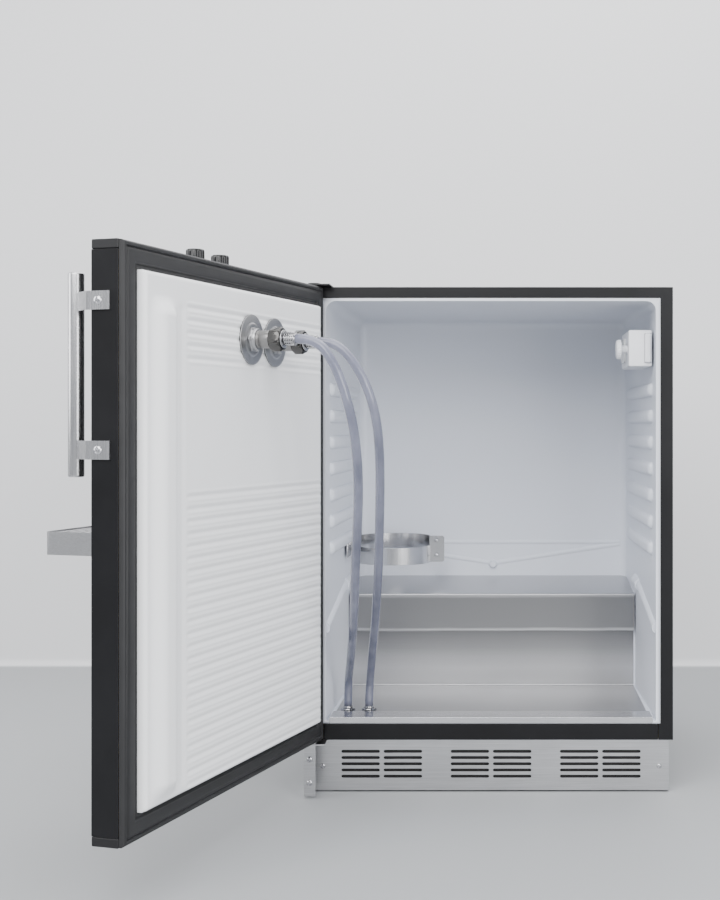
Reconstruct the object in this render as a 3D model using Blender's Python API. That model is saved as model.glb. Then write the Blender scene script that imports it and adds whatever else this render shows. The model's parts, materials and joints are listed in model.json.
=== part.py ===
"""Under-counter draught cooler with an open left-hung door, two taps and a lift-off drip tray.

Everything is in metres, +Z up.  The cabinet is laid out in its own frame: x = 0 at the
middle of the cabinet, y = 0 at its front plane with +Y into the cabinet, z = 0 on the floor.
Door pieces are laid out as on a closed door, in the hinge's frame, and then swung open:
x runs from the hinge to the free edge, y from the outer face (negative) into the cabinet.
"""
import math

import bmesh
import bpy
from mathutils import Matrix, Vector

# ---- Driving dimensions -------------------------------------------------------------------
GAP = 0.0003                      # clearance between touching pieces
HALF_WIDTH = 0.300                # cabinet, outside
DEPTH = 0.550
TOP = 0.835
BASE = 0.0887                     # underside of the cabinet body
SKIN = 0.0012                     # sheet steel

FLANGE_IN = 0.2795                # inner edge of the black front flange
FLANGE_BELOW = 0.2758             # the same beside the bottom rail
FLANGE_TOP = 0.817
RAIL_TOP = 0.1155

MOUTH_HALF = 0.272                # inside of the liner at its mouth
BACK_HALF = 0.264                 # inside of the liner at the back wall
LINER_BACK = 0.4565
LINER_WALL = 0.002
FLOOR = 0.120
CEILING = 0.812
STEP_FRONT = 0.300                # riser of the compressor hump
STEP_LOW = 0.293
STEP_HIGH = 0.308
BAY_FRONT = 0.335                 # machine bay under the hump
BAY_TOP = 0.262

LEDGE_PITCH = 0.0445
LEDGE_COUNT = 7
LEDGE_LOW = 0.400

HINGE_X = -0.289                  # hinge axis of the door
HINGE_Y = -0.0165
OPEN_ANGLE = math.radians(106.3)  # the door stands this far open

DOOR_HINGE_SIDE = -0.011
DOOR_FREE_SIDE = 0.589
DOOR_LOW = 0.092
DOOR_HIGH = 0.8345
DOOR_OUT = -0.0304
DOOR_SIDE_IN = 0.0071             # where the steel sides of the door end
GASKET_FACE = 0.0155
GASKET_CHAMFER = 0.002
PLATEAU = 0.024                   # raised field of the door liner
CAP_HEIGHT = 0.012

TAP_PLACES = (0.2721, 0.1975)     # distance of each tap from the hinge axis
TAP_HEIGHT = 0.730
SHANK_RADIUS = 0.013
NUT_START, NUT_END = 0.0575, 0.0747
TAIL_END = 0.0920                 # the beer line starts here
BORE_RADIUS = 0.0135

TRAY_NEAR, TRAY_FAR = 0.09, 0.45
TRAY_DEPTH = 0.161
TRAY_LOW, TRAY_HIGH = 0.4315, 0.463
TRAY_BACK = DOOR_OUT - 0.0026
TRAY_CORNER = 0.008               # corner radius in plan

LINE_RADIUS = 0.007

CO2_CENTRE = (-0.1905, 0.372)
CO2_RADIUS = 0.071
STRAP = 0.002

KNOB_CENTRE = (0.055, 0.735)      # y, z of the thermostat's axis
FAN_CENTRE = (-0.155, 0.172)      # x, z of the fan's axis

TRAY_CORNER_X = HINGE_X + (TRAY_FAR - TRAY_CORNER) * math.cos(OPEN_ANGLE) \
    + (TRAY_BACK - TRAY_DEPTH + TRAY_CORNER) * math.sin(OPEN_ANGLE) - TRAY_CORNER
GASKET_CORNER_Y = HINGE_Y - (DOOR_FREE_SIDE - 0.001) * math.sin(OPEN_ANGLE) \
    + (GASKET_FACE - GASKET_CHAMFER) * math.cos(OPEN_ANGLE)
SHIFT = Vector((-(TRAY_CORNER_X + HALF_WIDTH) / 2, -(GASKET_CORNER_Y + DEPTH) / 2, 0.0))

# name: (colour, roughness, metallic)
FINISHES = {
    "black_enamel": ((0.018, 0.018, 0.020), 0.38, 0.0),
    "charcoal_edge": ((0.060, 0.061, 0.064), 0.45, 0.0),
    "black_plastic": ((0.020, 0.020, 0.021), 0.50, 0.0),
    "white_liner": ((0.80, 0.81, 0.82), 0.42, 0.0),
    "white_plastic": ((0.78, 0.79, 0.80), 0.35, 0.0),
    "foam": ((0.72, 0.62, 0.34), 0.95, 0.0),
    "gasket_rubber": ((0.075, 0.075, 0.078), 0.70, 0.0),
    "stainless": ((0.58, 0.57, 0.55), 0.32, 1.0),
    "chrome": ((0.72, 0.72, 0.73), 0.10, 1.0),
    "galvanised": ((0.42, 0.43, 0.44), 0.55, 1.0),
    "compressor_black": ((0.020, 0.020, 0.022), 0.35, 0.0),
    "clear_vinyl": ((0.62, 0.60, 0.66), 0.25, 0.0),
    "lens": ((0.85, 0.86, 0.84), 0.30, 0.0),
}


# ---- Scene helpers ------------------------------------------------------------------------
def clear_scene():
    for item in list(bpy.data.objects):
        bpy.data.objects.remove(item, do_unlink=True)


def finish(name):
    found = bpy.data.materials.get(name)
    if found:
        return found
    colour, roughness, metallic = FINISHES[name]
    made = bpy.data.materials.new(name)
    made.use_nodes = True
    shader = made.node_tree.nodes["Principled BSDF"]
    shader.inputs["Base Color"].default_value = (*colour, 1.0)
    shader.inputs["Roughness"].default_value = roughness
    shader.inputs["Metallic"].default_value = metallic
    return made


def empty(name, location=(0, 0, 0), parent=None, turn=0.0):
    made = bpy.data.objects.new(name, None)
    bpy.context.scene.collection.objects.link(made)
    made.parent = parent
    made.location = location
    made.rotation_euler = (0.0, 0.0, turn)
    return made


def mesh_from(bm, name):
    bmesh.ops.remove_doubles(bm, verts=bm.verts, dist=0.00001)
    bmesh.ops.recalc_face_normals(bm, faces=bm.faces)
    mesh = bpy.data.meshes.new(name)
    bm.to_mesh(mesh)
    bm.free()
    return mesh


def place(name, mesh, parent, origin=(0, 0, 0)):
    """Link an object whose mesh was laid out in its parent's frame, with its own origin."""
    mesh.transform(Matrix.Translation(-Vector(origin)))
    made = bpy.data.objects.new(name, mesh)
    bpy.context.scene.collection.objects.link(made)
    made.parent = parent
    made.location = origin
    return made


def boolean(target, other, operation):
    """Cut or join `other` into `target`; `other` stays as a hidden guide."""
    other.hide_render = True
    other.display_type = "WIRE"
    modifier = target.modifiers.new(operation.lower(), "BOOLEAN")
    modifier.operation = operation
    modifier.solver = "EXACT"
    modifier.object = other


def node(name, colour, parent, shapes, cuts=(), origin=(0, 0, 0), smooth=False):
    """One sub-part: the first shape, joined with the others, less the cuts."""
    main = place(name, mesh_from(shapes[0], name), parent, origin)
    main.data.materials.append(finish(colour))
    for index, shape in enumerate(shapes[1:]):
        guide = place(f"{name}.add{index}", mesh_from(shape, name), parent, origin)
        boolean(main, guide, "UNION")
    for index, shape in enumerate(cuts):
        guide = place(f"{name}.cut{index}", mesh_from(shape, name), parent, origin)
        boolean(main, guide, "DIFFERENCE")
    if smooth:
        main.data.shade_smooth()
        main.data.set_sharp_from_angle(angle=math.radians(35))
    return main


# ---- Shape helpers ------------------------------------------------------------------------
def box(low, high, bevel=0.0, segments=2):
    bm = bmesh.new()
    bmesh.ops.create_cube(bm, size=1.0)
    low, high = Vector(low), Vector(high)
    for vert in bm.verts:
        vert.co = Vector((low[i] + (vert.co[i] + 0.5) * (high[i] - low[i]) for i in range(3)))
    if bevel:
        bmesh.ops.bevel(bm, geom=bm.edges, offset=bevel, segments=segments, affect="EDGES", profile=0.5)
    return bm


def merged(parts):
    """Several shapes in one mesh, for cutters that don't touch each other."""
    whole = bmesh.new()
    for part in parts:
        mesh = mesh_from(part, "part")
        whole.from_mesh(mesh)
        bpy.data.meshes.remove(mesh)
    return whole


def prism(outline, axis, low, high):
    """A flat outline (a, b) pushed along an axis; a and b are the other axes in X, Y, Z order."""
    def at(point, height):
        values = list(point)
        values.insert("XYZ".index(axis), height)
        return Vector(values)

    bm = bmesh.new()
    bottom = [bm.verts.new(at(point, low)) for point in outline]
    upper = [bm.verts.new(at(point, high)) for point in outline]
    bm.faces.new(bottom)
    bm.faces.new(reversed(upper))
    for index in range(len(outline)):
        after = (index + 1) % len(outline)
        bm.faces.new((bottom[index], upper[index], upper[after], bottom[after]))
    return bm


def arc(centre, radius, start, end, steps):
    """Points on a round stretch, angles in degrees."""
    points = []
    for index in range(steps + 1):
        angle = math.radians(start + (end - start) * index / steps)
        points.append((centre[0] + radius * math.cos(angle), centre[1] + radius * math.sin(angle)))
    return points


def slot_outline(centre, length, height, steps=5):
    """A round-ended slot, long in its first direction."""
    radius = height / 2
    half = length / 2 - radius
    right = arc((centre[0] + half, centre[1]), radius, -90, 90, steps)
    left = arc((centre[0] - half, centre[1]), radius, 90, 270, steps)
    return right + left


def turned(profile, axis, centre, sides=24):
    """A closed solid of revolution: profile is (radius, height) from one end to the other."""
    bm = bmesh.new()
    rings = []
    for radius, height in profile:
        count = 1 if radius == 0 else sides
        ring = []
        for index in range(count):
            angle = 2 * math.pi * index / sides
            flat = [centre[0] + radius * math.cos(angle), centre[1] + radius * math.sin(angle)]
            flat.insert("XYZ".index(axis), height)
            ring.append(bm.verts.new(flat))
        rings.append(ring)
    for first, second in zip(rings, rings[1:]):
        for index in range(sides):
            after = (index + 1) % sides
            corners = [first[index % len(first)], first[after % len(first)],
                       second[after % len(second)], second[index % len(second)]]
            unique = list(dict.fromkeys(corners))
            if len(unique) > 2:
                bm.faces.new(unique)
    if len(rings[0]) > 1:
        bm.faces.new(rings[0])
    if len(rings[-1]) > 1:
        bm.faces.new(rings[-1])
    return bm


def rod(axis, centre, radius, low, high, sides=24):
    return turned([(radius, low), (radius, high)], axis, centre, sides)


def hexagon(centre, across_flats, turn=0.0):
    return arc(centre, across_flats / math.sqrt(3), turn, turn + 300, 5)


def moved(bm, matrix):
    bmesh.ops.transform(bm, matrix=matrix, verts=bm.verts)
    return bm


def smooth_path(points, spacing):
    """Evenly spaced points on a smooth curve (Catmull-Rom) through the given ones."""
    points = [Vector(point) for point in points]
    ends = [points[0] * 2 - points[1]] + points + [points[-1] * 2 - points[-2]]
    fine = []
    for index in range(1, len(ends) - 2):
        before, start, end, after = ends[index - 1:index + 3]
        for step in range(20):
            t = step / 20
            fine.append(0.5 * (2 * start + (end - before) * t
                               + (2 * before - 5 * start + 4 * end - after) * t ** 2
                               + (3 * start - before - 3 * end + after) * t ** 3))
    fine.append(points[-1])
    lengths = [0.0]
    for start, end in zip(fine, fine[1:]):
        lengths.append(lengths[-1] + (end - start).length)
    count = max(2, round(lengths[-1] / spacing))
    path = []
    index = 0
    for step in range(count + 1):
        wanted = lengths[-1] * step / count
        while index < len(fine) - 2 and lengths[index + 1] < wanted:
            index += 1
        share = (wanted - lengths[index]) / (lengths[index + 1] - lengths[index])
        path.append(fine[index].lerp(fine[index + 1], share))
    return path


def wall_half(depth):
    """Half the liner's inside width at a depth behind the front plane."""
    return MOUTH_HALF + (BACK_HALF - MOUTH_HALF) * depth / LINER_BACK


def draft(bm, base):
    """Give a straight shape the liner's taper: its sides follow the liner's walls."""
    for vert in bm.verts:
        side = 1 if vert.co.x > 0 else -1
        vert.co.x += side * (wall_half(vert.co.y) - base)
    return bm


# ---- Cabinet ------------------------------------------------------------------------------
def liner_outline(grow):
    """Side view of the liner's inside, grown outwards, as (y, z)."""
    back = LINER_BACK + grow
    return [(-0.02, FLOOR - grow), (STEP_FRONT + grow, FLOOR - grow), (STEP_FRONT + grow, STEP_LOW - grow),
            (back, STEP_HIGH - grow), (back, CEILING + grow), (-0.02, CEILING + grow)]


def add_cabinet(root):
    inner = box((-HALF_WIDTH + SKIN, SKIN, BASE - 0.01), (HALF_WIDTH - SKIN, DEPTH + 0.01, TOP - SKIN))
    mouth = box((-FLANGE_IN, -0.01, RAIL_TOP), (FLANGE_IN, 0.02, FLANGE_TOP))
    rail_gap = box((-FLANGE_BELOW, -0.01, BASE - 0.01), (FLANGE_BELOW, 0.02, RAIL_TOP + 0.001))
    shell = box((-HALF_WIDTH, 0, BASE), (HALF_WIDTH, DEPTH - 0.0015, TOP))
    node("outer_wrapper", "black_enamel", root, [shell], [inner, mouth, rail_gap])

    back = box((-HALF_WIDTH + 0.0005, DEPTH - 0.0012, BAY_TOP), (HALF_WIDTH - 0.0005, DEPTH, TOP - 0.0005))
    node("back_panel", "galvanised", root, [back])
    rail = box((-FLANGE_BELOW + GAP, 0, BASE), (FLANGE_BELOW - GAP, 0.020, RAIL_TOP - GAP))
    node("bottom_front_rail", "black_enamel", root, [rail])
    pan = box((-HALF_WIDTH + SKIN + GAP, 0.0203, BASE), (HALF_WIDTH - SKIN - GAP, DEPTH - 0.0016, BASE + 0.0015))
    node("base_pan", "galvanised", root, [pan])

    add_liner(root)
    add_foam(root)


def add_liner(root):
    half = MOUTH_HALF
    outer = draft(prism(liner_outline(LINER_WALL), "X", -half - LINER_WALL, half + LINER_WALL), half)
    front = box((-0.4, -0.05, 0.05), (0.4, 0.0005, 0.9))
    lip = box((-FLANGE_IN + GAP, 0.0005, RAIL_TOP + GAP), (FLANGE_IN - GAP, 0.0025, FLANGE_TOP - GAP))
    cavity = draft(prism(liner_outline(0.0), "X", -half, half), half)
    liner = node("inner_liner", "white_liner", root, [outer, lip], [front, cavity])
    ledges = []
    for index in range(LEDGE_COUNT):
        height = LEDGE_LOW + LEDGE_PITCH * index
        for side in (-1, 1):
            reach = sorted((side * (half - 0.008), side * (half + 0.001)))
            ledge = box((reach[0], 0.05, height - 0.003), (reach[1], 0.35, height + 0.003))
            ledges.append(draft(ledge, half))
    boolean(liner, place("inner_liner.ledges", mesh_from(merged(ledges), "ledges"), root), "UNION")


def add_foam(root):
    grow = LINER_WALL + GAP
    half = MOUTH_HALF
    edge = SKIN + GAP
    body = box((-HALF_WIDTH + edge, 0.0028, BASE + 0.0018), (HALF_WIDTH - edge, DEPTH - 0.0016, TOP - edge))
    cavity = draft(prism(liner_outline(grow), "X", -half - grow, half + grow), half)
    rail_gap = box((-FLANGE_BELOW, -0.01, 0), (FLANGE_BELOW, 0.0203, RAIL_TOP + GAP))
    bay = box((-0.285, BAY_FRONT, 0), (0.285, DEPTH + 0.01, BAY_TOP))
    node("insulation_foam", "foam", root, [body], [cavity, rail_gap, bay])


def add_floor_plates(root):
    sheet = 0.001
    low = FLOOR + GAP
    rise = STEP_FRONT - GAP
    proud, fold = 0.284, 0.226    # the riser's upper part stands forward, down to a folded edge
    back = LINER_BACK - 0.001
    slope = (STEP_HIGH - STEP_LOW) / (LINER_BACK - STEP_FRONT)

    def hump(depth, lift):
        return STEP_LOW + slope * (depth - STEP_FRONT) + GAP + lift

    crest = hump(rise, sheet)
    outline = [(0.0505, low), (rise, low), (rise, fold), (proud + sheet, fold), (proud + sheet, crest - sheet),
               (rise, crest - sheet), (back, hump(back, 0)), (back, hump(back, sheet)), (rise, crest),
               (proud, crest), (proud, fold - sheet), (rise - sheet, fold - sheet), (rise - sheet, low + sheet),
               (0.0505, low + sheet)]
    half = BACK_HALF - 0.0005
    node("floor_plate", "stainless", root, [prism(outline, "X", -half, half)])

    half = 0.2665
    strip = box((-half, -0.0006, FLOOR + GAP), (half, 0.050, FLOOR + 0.006))
    lip = box((-half, -0.0006, RAIL_TOP + 0.0008), (half, 0.0002, FLOOR + 0.006))
    node("threshold_strip", "stainless", root, [strip, lip])


def add_kick_plate(root):
    half, low, high = 0.2945, 0.003, BASE - GAP
    face, sheet = 0.012, 0.0012
    shell = box((-half, face, low), (half, 0.060, high))
    hollow = box((-half + sheet, face + sheet, -0.01), (half - sheet, 0.07, high - sheet))
    slots = []
    for group in (-1, 0, 1):
        for column in (-1, 1):
            for row in range(5):
                centre = (group * 0.181 + column * 0.035, 0.0258 + row * 0.0103)
                slots.append(prism(slot_outline(centre, 0.064, 0.005, 4), "Y", face - 0.005, face + 0.006))
    screw_holes = [rod("Y", (side * 0.2785, 0.043), 0.0026, face - 0.005, face + 0.006, 12) for side in (-1, 1)]
    node("kick_plate", "stainless", root, [shell], [hollow, merged(slots + screw_holes)])


def pan_screw(name, parent, axis, centre, seat, head, shank, length, out=-1):
    """A dome-headed screw: the head stands out from `seat`, the shank goes the other way."""
    high = head * 0.5
    profile = [(0, seat + out * high), (head * 0.6, seat + out * high * 0.8), (head, seat + out * high * 0.25),
               (head, seat), (shank, seat), (shank, seat - out * length), (0, seat - out * (length + shank))]
    node(name, "stainless", parent, [turned(profile, axis, centre, 12)], smooth=True)


def add_hinges(root):
    sheet = 0.0015
    outer, inner, front = -0.304, -0.285, -0.030
    high = DOOR_LOW - 0.0035
    face = box((outer, front, 0.004), (inner, front + sheet, high))
    side = box((outer, front, 0.004), (outer + sheet, 0.050, high))
    shelf = box((outer, front, high - 0.0025), (-0.270, 0.0115, high))
    pin = rod("Z", (HINGE_X, HINGE_Y), 0.004, high - 0.001, DOOR_LOW + 0.014, 16)
    holes = [rod("Y", (-0.2945, height), 0.0026, front - 0.01, front + 0.01, 12) for height in (0.064, 0.026)]
    node("lower_hinge_bracket", "stainless", root, [face, side, shelf, pin], [merged(holes)])
    for height, name in ((0.064, "bracket_screw_upper"), (0.026, "bracket_screw_lower")):
        pan_screw(name, root, "Y", (-0.2945, height), front - GAP, 0.005, 0.0022, 0.010)

    seat = TOP + GAP
    plate = box((-0.3000, -0.0285, seat), (-0.262, 0.052, seat + 0.0022))
    boss = rod("Z", (HINGE_X, HINGE_Y), 0.010, seat + 0.001, seat + 0.0038, 24)
    pin = rod("Z", (HINGE_X, HINGE_Y), 0.004, DOOR_HIGH - 0.014, seat + 0.002, 16)
    node("upper_hinge_bracket", "black_plastic", root, [plate, boss, pin])


def add_feet(root):
    rail_low = 0.060
    places = {"front": 0.120, "rear": 0.490}
    for side, name in ((-1, "left"), (1, "right")):
        x_near, x_far = sorted((side * 0.243, side * 0.287))
        rail = box((x_near, 0.075, rail_low), (x_far, 0.535, BASE - GAP), 0.002, 1)
        bores = [rod("Z", (side * 0.265, depth), 0.0062, rail_low - 0.01, BASE - 0.004, 16)
                 for depth in places.values()]
        node(f"{name}_foot_rail", "galvanised", root, [rail], [merged(bores)])
        for place_name, depth in places.items():
            profile = [(0, 0), (0.020, 0), (0.022, 0.002), (0.022, 0.008), (0.016, 0.013),
                       (0.0058, 0.014), (0.0058, 0.080), (0, 0.081)]
            centre = (side * 0.265, depth)
            foot = turned(profile, "Z", centre, 24)
            node(f"{place_name}_{name}_foot", "black_plastic", root, [foot], origin=(*centre, 0), smooth=True)


def add_machinery(root):
    middle = (0.105, 0.445)
    pan_top = BASE + 0.0018
    plate = box((middle[0] - 0.085, middle[1] - 0.078, pan_top), (middle[0] + 0.085, middle[1] + 0.078, 0.100))
    shell = turned([(0, 0.096), (0.052, 0.098), (0.070, 0.108), (0.075, 0.125), (0.075, 0.158), (0.078, 0.160),
                    (0.078, 0.166), (0.074, 0.168), (0.072, 0.200), (0.060, 0.222), (0.035, 0.232), (0, 0.234)],
                   "Z", middle, 32)
    node("compressor", "compressor_black", root, [plate, shell], smooth=True)

    low, high = (middle[0] - 0.090, middle[1] - 0.080), (middle[0] + 0.090, middle[1] + 0.080)
    dish = box((*low, 0.2345), (*high, 0.256))
    well = box((low[0] + 0.002, low[1] + 0.002, 0.2365), (high[0] - 0.002, high[1] - 0.002, 0.27))
    node("evaporation_tray", "black_plastic", root, [dish], [well])

    core = box((-0.240, 0.505, pan_top), (-0.070, 0.535, 0.252))
    fins = [box((-0.236 + 0.0118 * index, 0.50, 0.100), (-0.2295 + 0.0118 * index, 0.512, 0.245))
            for index in range(14)]
    rear_fins = [box((-0.236 + 0.0118 * index, 0.528, 0.100), (-0.2295 + 0.0118 * index, 0.54, 0.245))
                 for index in range(14)]
    node("condenser", "galvanised", root, [core], [merged(fins + rear_fins)])

    frame = box((-0.235, 0.472, pan_top), (-0.075, 0.4995, 0.252))
    tunnel = rod("Y", FAN_CENTRE, 0.066, 0.46, 0.51, 32)
    motor = rod("Y", FAN_CENTRE, 0.022, 0.440, 0.4705, 24)
    arm = box((FAN_CENTRE[0] - 0.070, 0.466, FAN_CENTRE[1] - 0.005),
              (FAN_CENTRE[0] + 0.070, 0.4705, FAN_CENTRE[1] + 0.005))
    feet = [box((FAN_CENTRE[0] + side * 0.0725 - 0.004, 0.466, FAN_CENTRE[1] - 0.005),
                (FAN_CENTRE[0] + side * 0.0725 + 0.004, 0.475, FAN_CENTRE[1] + 0.005)) for side in (-1, 1)]
    shroud = node("fan_shroud", "black_plastic", root, [frame], [tunnel])
    for index, shape in enumerate([arm, motor, *feet]):
        guide = place(f"fan_shroud.arm{index}", mesh_from(shape, "arm"), root)
        boolean(shroud, guide, "UNION")

    centre = Vector((FAN_CENTRE[0], 0.4855, FAN_CENTRE[1]))
    hub = rod("Y", FAN_CENTRE, 0.019, 0.4755, 0.4965, 24)
    blades = []
    for index in range(5):
        blade = box((0.012, -0.0012, -0.019), (0.061, 0.0012, 0.019))
        pitch = Matrix.Rotation(math.radians(28), 4, "X")
        spin = Matrix.Rotation(math.radians(72 * index), 4, "Y")
        blades.append(moved(blade, Matrix.Translation(centre) @ spin @ pitch))
    node("fan_rotor", "black_plastic", root, [hub, *blades], origin=centre)


# ---- Inside the cabinet -------------------------------------------------------------------
def add_lamp_box(root):
    left, right = 0.2290, 0.2685
    front, back, low, high = 0.024, 0.150, 0.705, 0.766
    shell = box((left, front, low), (right, back, high), 0.003, 2)
    pocket = box((0.2555, front - 0.01, low + 0.006), (0.2665, front + 0.016, high - 0.006))
    window = box((left - 0.01, 0.084, low + 0.010), (left + 0.012, 0.142, high - 0.010))
    spindle = rod("X", KNOB_CENTRE, 0.0042, left - 0.01, left + 0.012, 16)
    node("lamp_housing", "white_plastic", root, [shell], [pocket, window, spindle])

    lens = box((left - 0.002, 0.0843, low + 0.0103), (left + 0.0117, 0.1417, high - 0.0103), 0.0015, 1)
    node("lamp_lens", "lens", root, [lens])
    rocker = box((0.2558, front - 0.004, low + 0.0063), (0.2662, front + 0.008, high - 0.0063), 0.0015, 1)
    node("light_switch", "white_plastic", root, [rocker])

    face = left - 0.0183
    profile = [(0, face), (0.0150, face), (0.0165, face + 0.0013), (0.0165, face + 0.0078), (0.0070, face + 0.0083),
               (0.0070, left - GAP), (0.0040, left - GAP), (0.0040, left + 0.010), (0, left + 0.010)]
    dial = turned(profile, "X", KNOB_CENTRE, 28)
    origin = (left, *KNOB_CENTRE)
    node("thermostat_knob", "white_plastic", root, [dial], origin=origin, smooth=True)


def strap_ring(start, end, low, high):
    outer = arc(CO2_CENTRE, CO2_RADIUS, start, end, 20)
    inner = arc(CO2_CENTRE, CO2_RADIUS - STRAP, end, start, 20)
    return prism(outer + inner, "Z", low, high)


def add_cylinder_holder(root):
    x, y = CO2_CENTRE
    right = x + CO2_RADIUS
    flange_low, flange_high = 0.345, 0.395
    rear_flange = box((right - STRAP, y + GAP, flange_low), (-0.093, y + GAP + STRAP, flange_high))
    tab_out = x - CO2_RADIUS - GAP
    wall_tab = box((tab_out - STRAP, 0.222, 0.367), (tab_out, y + 0.012, flange_high))
    tab_root = box((tab_out - STRAP / 2, y + 0.001, 0.367), (tab_out + 0.0015, y + 0.011, flange_high))
    front_flange = box((right - STRAP, y - GAP - STRAP, flange_low), (-0.093, y - GAP, flange_high))
    heights = {"upper": 0.386, "lower": 0.358}
    holes = [rod("Y", (-0.108, height), 0.0026, y - 0.02, y + 0.02, 12) for height in heights.values()]
    node("co2_rear_strap", "stainless", root,
         [strap_ring(0.3, 179.7, 0.367, flange_high), rear_flange, wall_tab, tab_root], [merged(holes)])
    holes = [rod("Y", (-0.108, height), 0.0026, y - 0.02, y + 0.02, 12) for height in heights.values()]
    node("co2_front_strap", "stainless", root,
         [strap_ring(180.3, 359.7, flange_low, 0.377), front_flange], [merged(holes)])
    for name, height in heights.items():
        pan_screw(f"co2_screw_{name}", root, "Y", (-0.108, height), y - 2 * GAP - STRAP, 0.0042, 0.0022, 0.010)


# ---- Beer lines ---------------------------------------------------------------------------
LINE_ROUTES = (
    [(-0.2560, -0.3096, 0.7282), (-0.2435, -0.3127, 0.7228), (-0.2328, -0.3148, 0.7142),
     (-0.2205, -0.3160, 0.6950), (-0.2100, -0.3160, 0.6710), (-0.2010, -0.3120, 0.6414),
     (-0.1935, -0.3020, 0.6046), (-0.1900, -0.2860, 0.5629), (-0.1904, -0.2620, 0.5130),
     (-0.1953, -0.2300, 0.4568), (-0.2027, -0.1880, 0.3949), (-0.2092, -0.1420, 0.3380),
     (-0.2162, -0.0940, 0.2900), (-0.2238, -0.0460, 0.2555), (-0.2311, 0.0000, 0.2210),
     (-0.2393, 0.0489, 0.1863), (-0.2421, 0.0659, 0.1664)],
    [(-0.2351, -0.2378, 0.7282), (-0.2226, -0.2407, 0.7228), (-0.2119, -0.2425, 0.7142),
     (-0.1990, -0.2440, 0.6985), (-0.1855, -0.2440, 0.6748), (-0.1744, -0.2410, 0.6463),
     (-0.1672, -0.2330, 0.6141), (-0.1640, -0.2195, 0.5733), (-0.1646, -0.1980, 0.5220),
     (-0.1681, -0.1680, 0.4598), (-0.1728, -0.1320, 0.3984), (-0.1790, -0.0920, 0.3407),
     (-0.1860, -0.0480, 0.2900), (-0.1945, 0.0000, 0.2420), (-0.2045, 0.0576, 0.1785),
     (-0.2063, 0.0679, 0.1620)],
)
CONNECTORS = ((-0.2436, 0.0720), (-0.2079, 0.0720))
CONNECTOR_TOP = 0.131


def door_point(along, inward, height):
    """A door point (closed-door frame) on the open door, in the cabinet's frame."""
    turn = Matrix.Rotation(-OPEN_ANGLE, 3, "Z")
    return Vector((HINGE_X, HINGE_Y, 0)) + turn @ Vector((along, inward, height))


def add_beer_lines(root):
    for number in (1, 2):
        base = CONNECTORS[number - 1]
        start = door_point(TAP_PLACES[number - 1], TAIL_END + GAP, TAP_HEIGHT)
        leave = door_point(TAP_PLACES[number - 1], TAIL_END + 0.008, TAP_HEIGHT)
        arrive = Vector((*base, CONNECTOR_TOP + 0.010))
        end = Vector((*base, CONNECTOR_TOP + GAP))
        middle = smooth_path([leave, *LINE_ROUTES[number - 1], arrive], 2 * 2 * LINE_RADIUS)
        path = [start, *middle, end]
        curve = bpy.data.curves.new(f"beer_line_{number}", "CURVE")
        curve.dimensions = "3D"
        curve.bevel_depth = LINE_RADIUS
        curve.bevel_resolution = 3
        curve.use_fill_caps = True
        spline = curve.splines.new("POLY")
        spline.points.add(len(path) - 1)
        for point, target in zip(spline.points, path):
            point.co = (*target, 1.0)
        curve.materials.append(finish("clear_vinyl"))
        made = bpy.data.objects.new(f"beer_line_{number}", curve)
        bpy.context.scene.collection.objects.link(made)
        made.parent = root

        floor = FLOOR + GAP * 2 + 0.001
        nut = prism(hexagon(base, 0.022), "Z", floor, floor + 0.005)
        barb = turned([(0.0085, floor + 0.004), (0.0085, floor + 0.0075), (0.0070, CONNECTOR_TOP)], "Z", base, 16)
        node(f"line_connector_{number}", "chrome", root, [nut, barb])


# ---- Door ---------------------------------------------------------------------------------
def tap_bores(low, high, radius=BORE_RADIUS):
    return [rod("Y", (along, TAP_HEIGHT), radius, low, high, 24) for along in TAP_PLACES]


def add_door(door):
    left, right = DOOR_HINGE_SIDE, DOOR_FREE_SIDE
    low, high = DOOR_LOW + CAP_HEIGHT + GAP, DOOR_HIGH - CAP_HEIGHT - GAP
    shell = box((left, DOOR_OUT, low), (right, DOOR_SIDE_IN, high))
    hollow = box((left + SKIN, DOOR_OUT + SKIN, low - 0.01), (right - SKIN, 0.02, high + 0.01))
    node("door_outer_panel", "black_enamel", door, [shell], [hollow, merged(tap_bores(-0.05, 0.0))])

    for name, bottom in (("door_bottom_cap", DOOR_LOW), ("door_top_cap", DOOR_HIGH - CAP_HEIGHT)):
        cap = box((left, DOOR_OUT, bottom), (right, DOOR_SIDE_IN, bottom + CAP_HEIGHT), 0.001, 1)
        bore = rod("Z", (0, 0), 0.0045, bottom - 0.01, bottom + CAP_HEIGHT + 0.01, 16)
        node(name, "black_plastic", door, [cap], [bore])

    edge = SKIN + GAP
    slab = box((left + edge, DOOR_OUT + edge, low), (right - edge, DOOR_SIDE_IN - GAP, high))
    field = box((0.0261, DOOR_SIDE_IN - 0.004, 0.1298), (0.5519, PLATEAU - 0.0023, 0.7974))
    pin_room = merged([rod("Z", (0, 0), 0.006, bottom, bottom + 0.012, 12) for bottom in (low - 0.006, high - 0.006)])
    node("door_foam", "foam", door, [slab, field], [merged(tap_bores(-0.05, 0.05)), pin_room])
    add_door_liner(door)
    add_gasket(door)


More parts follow.
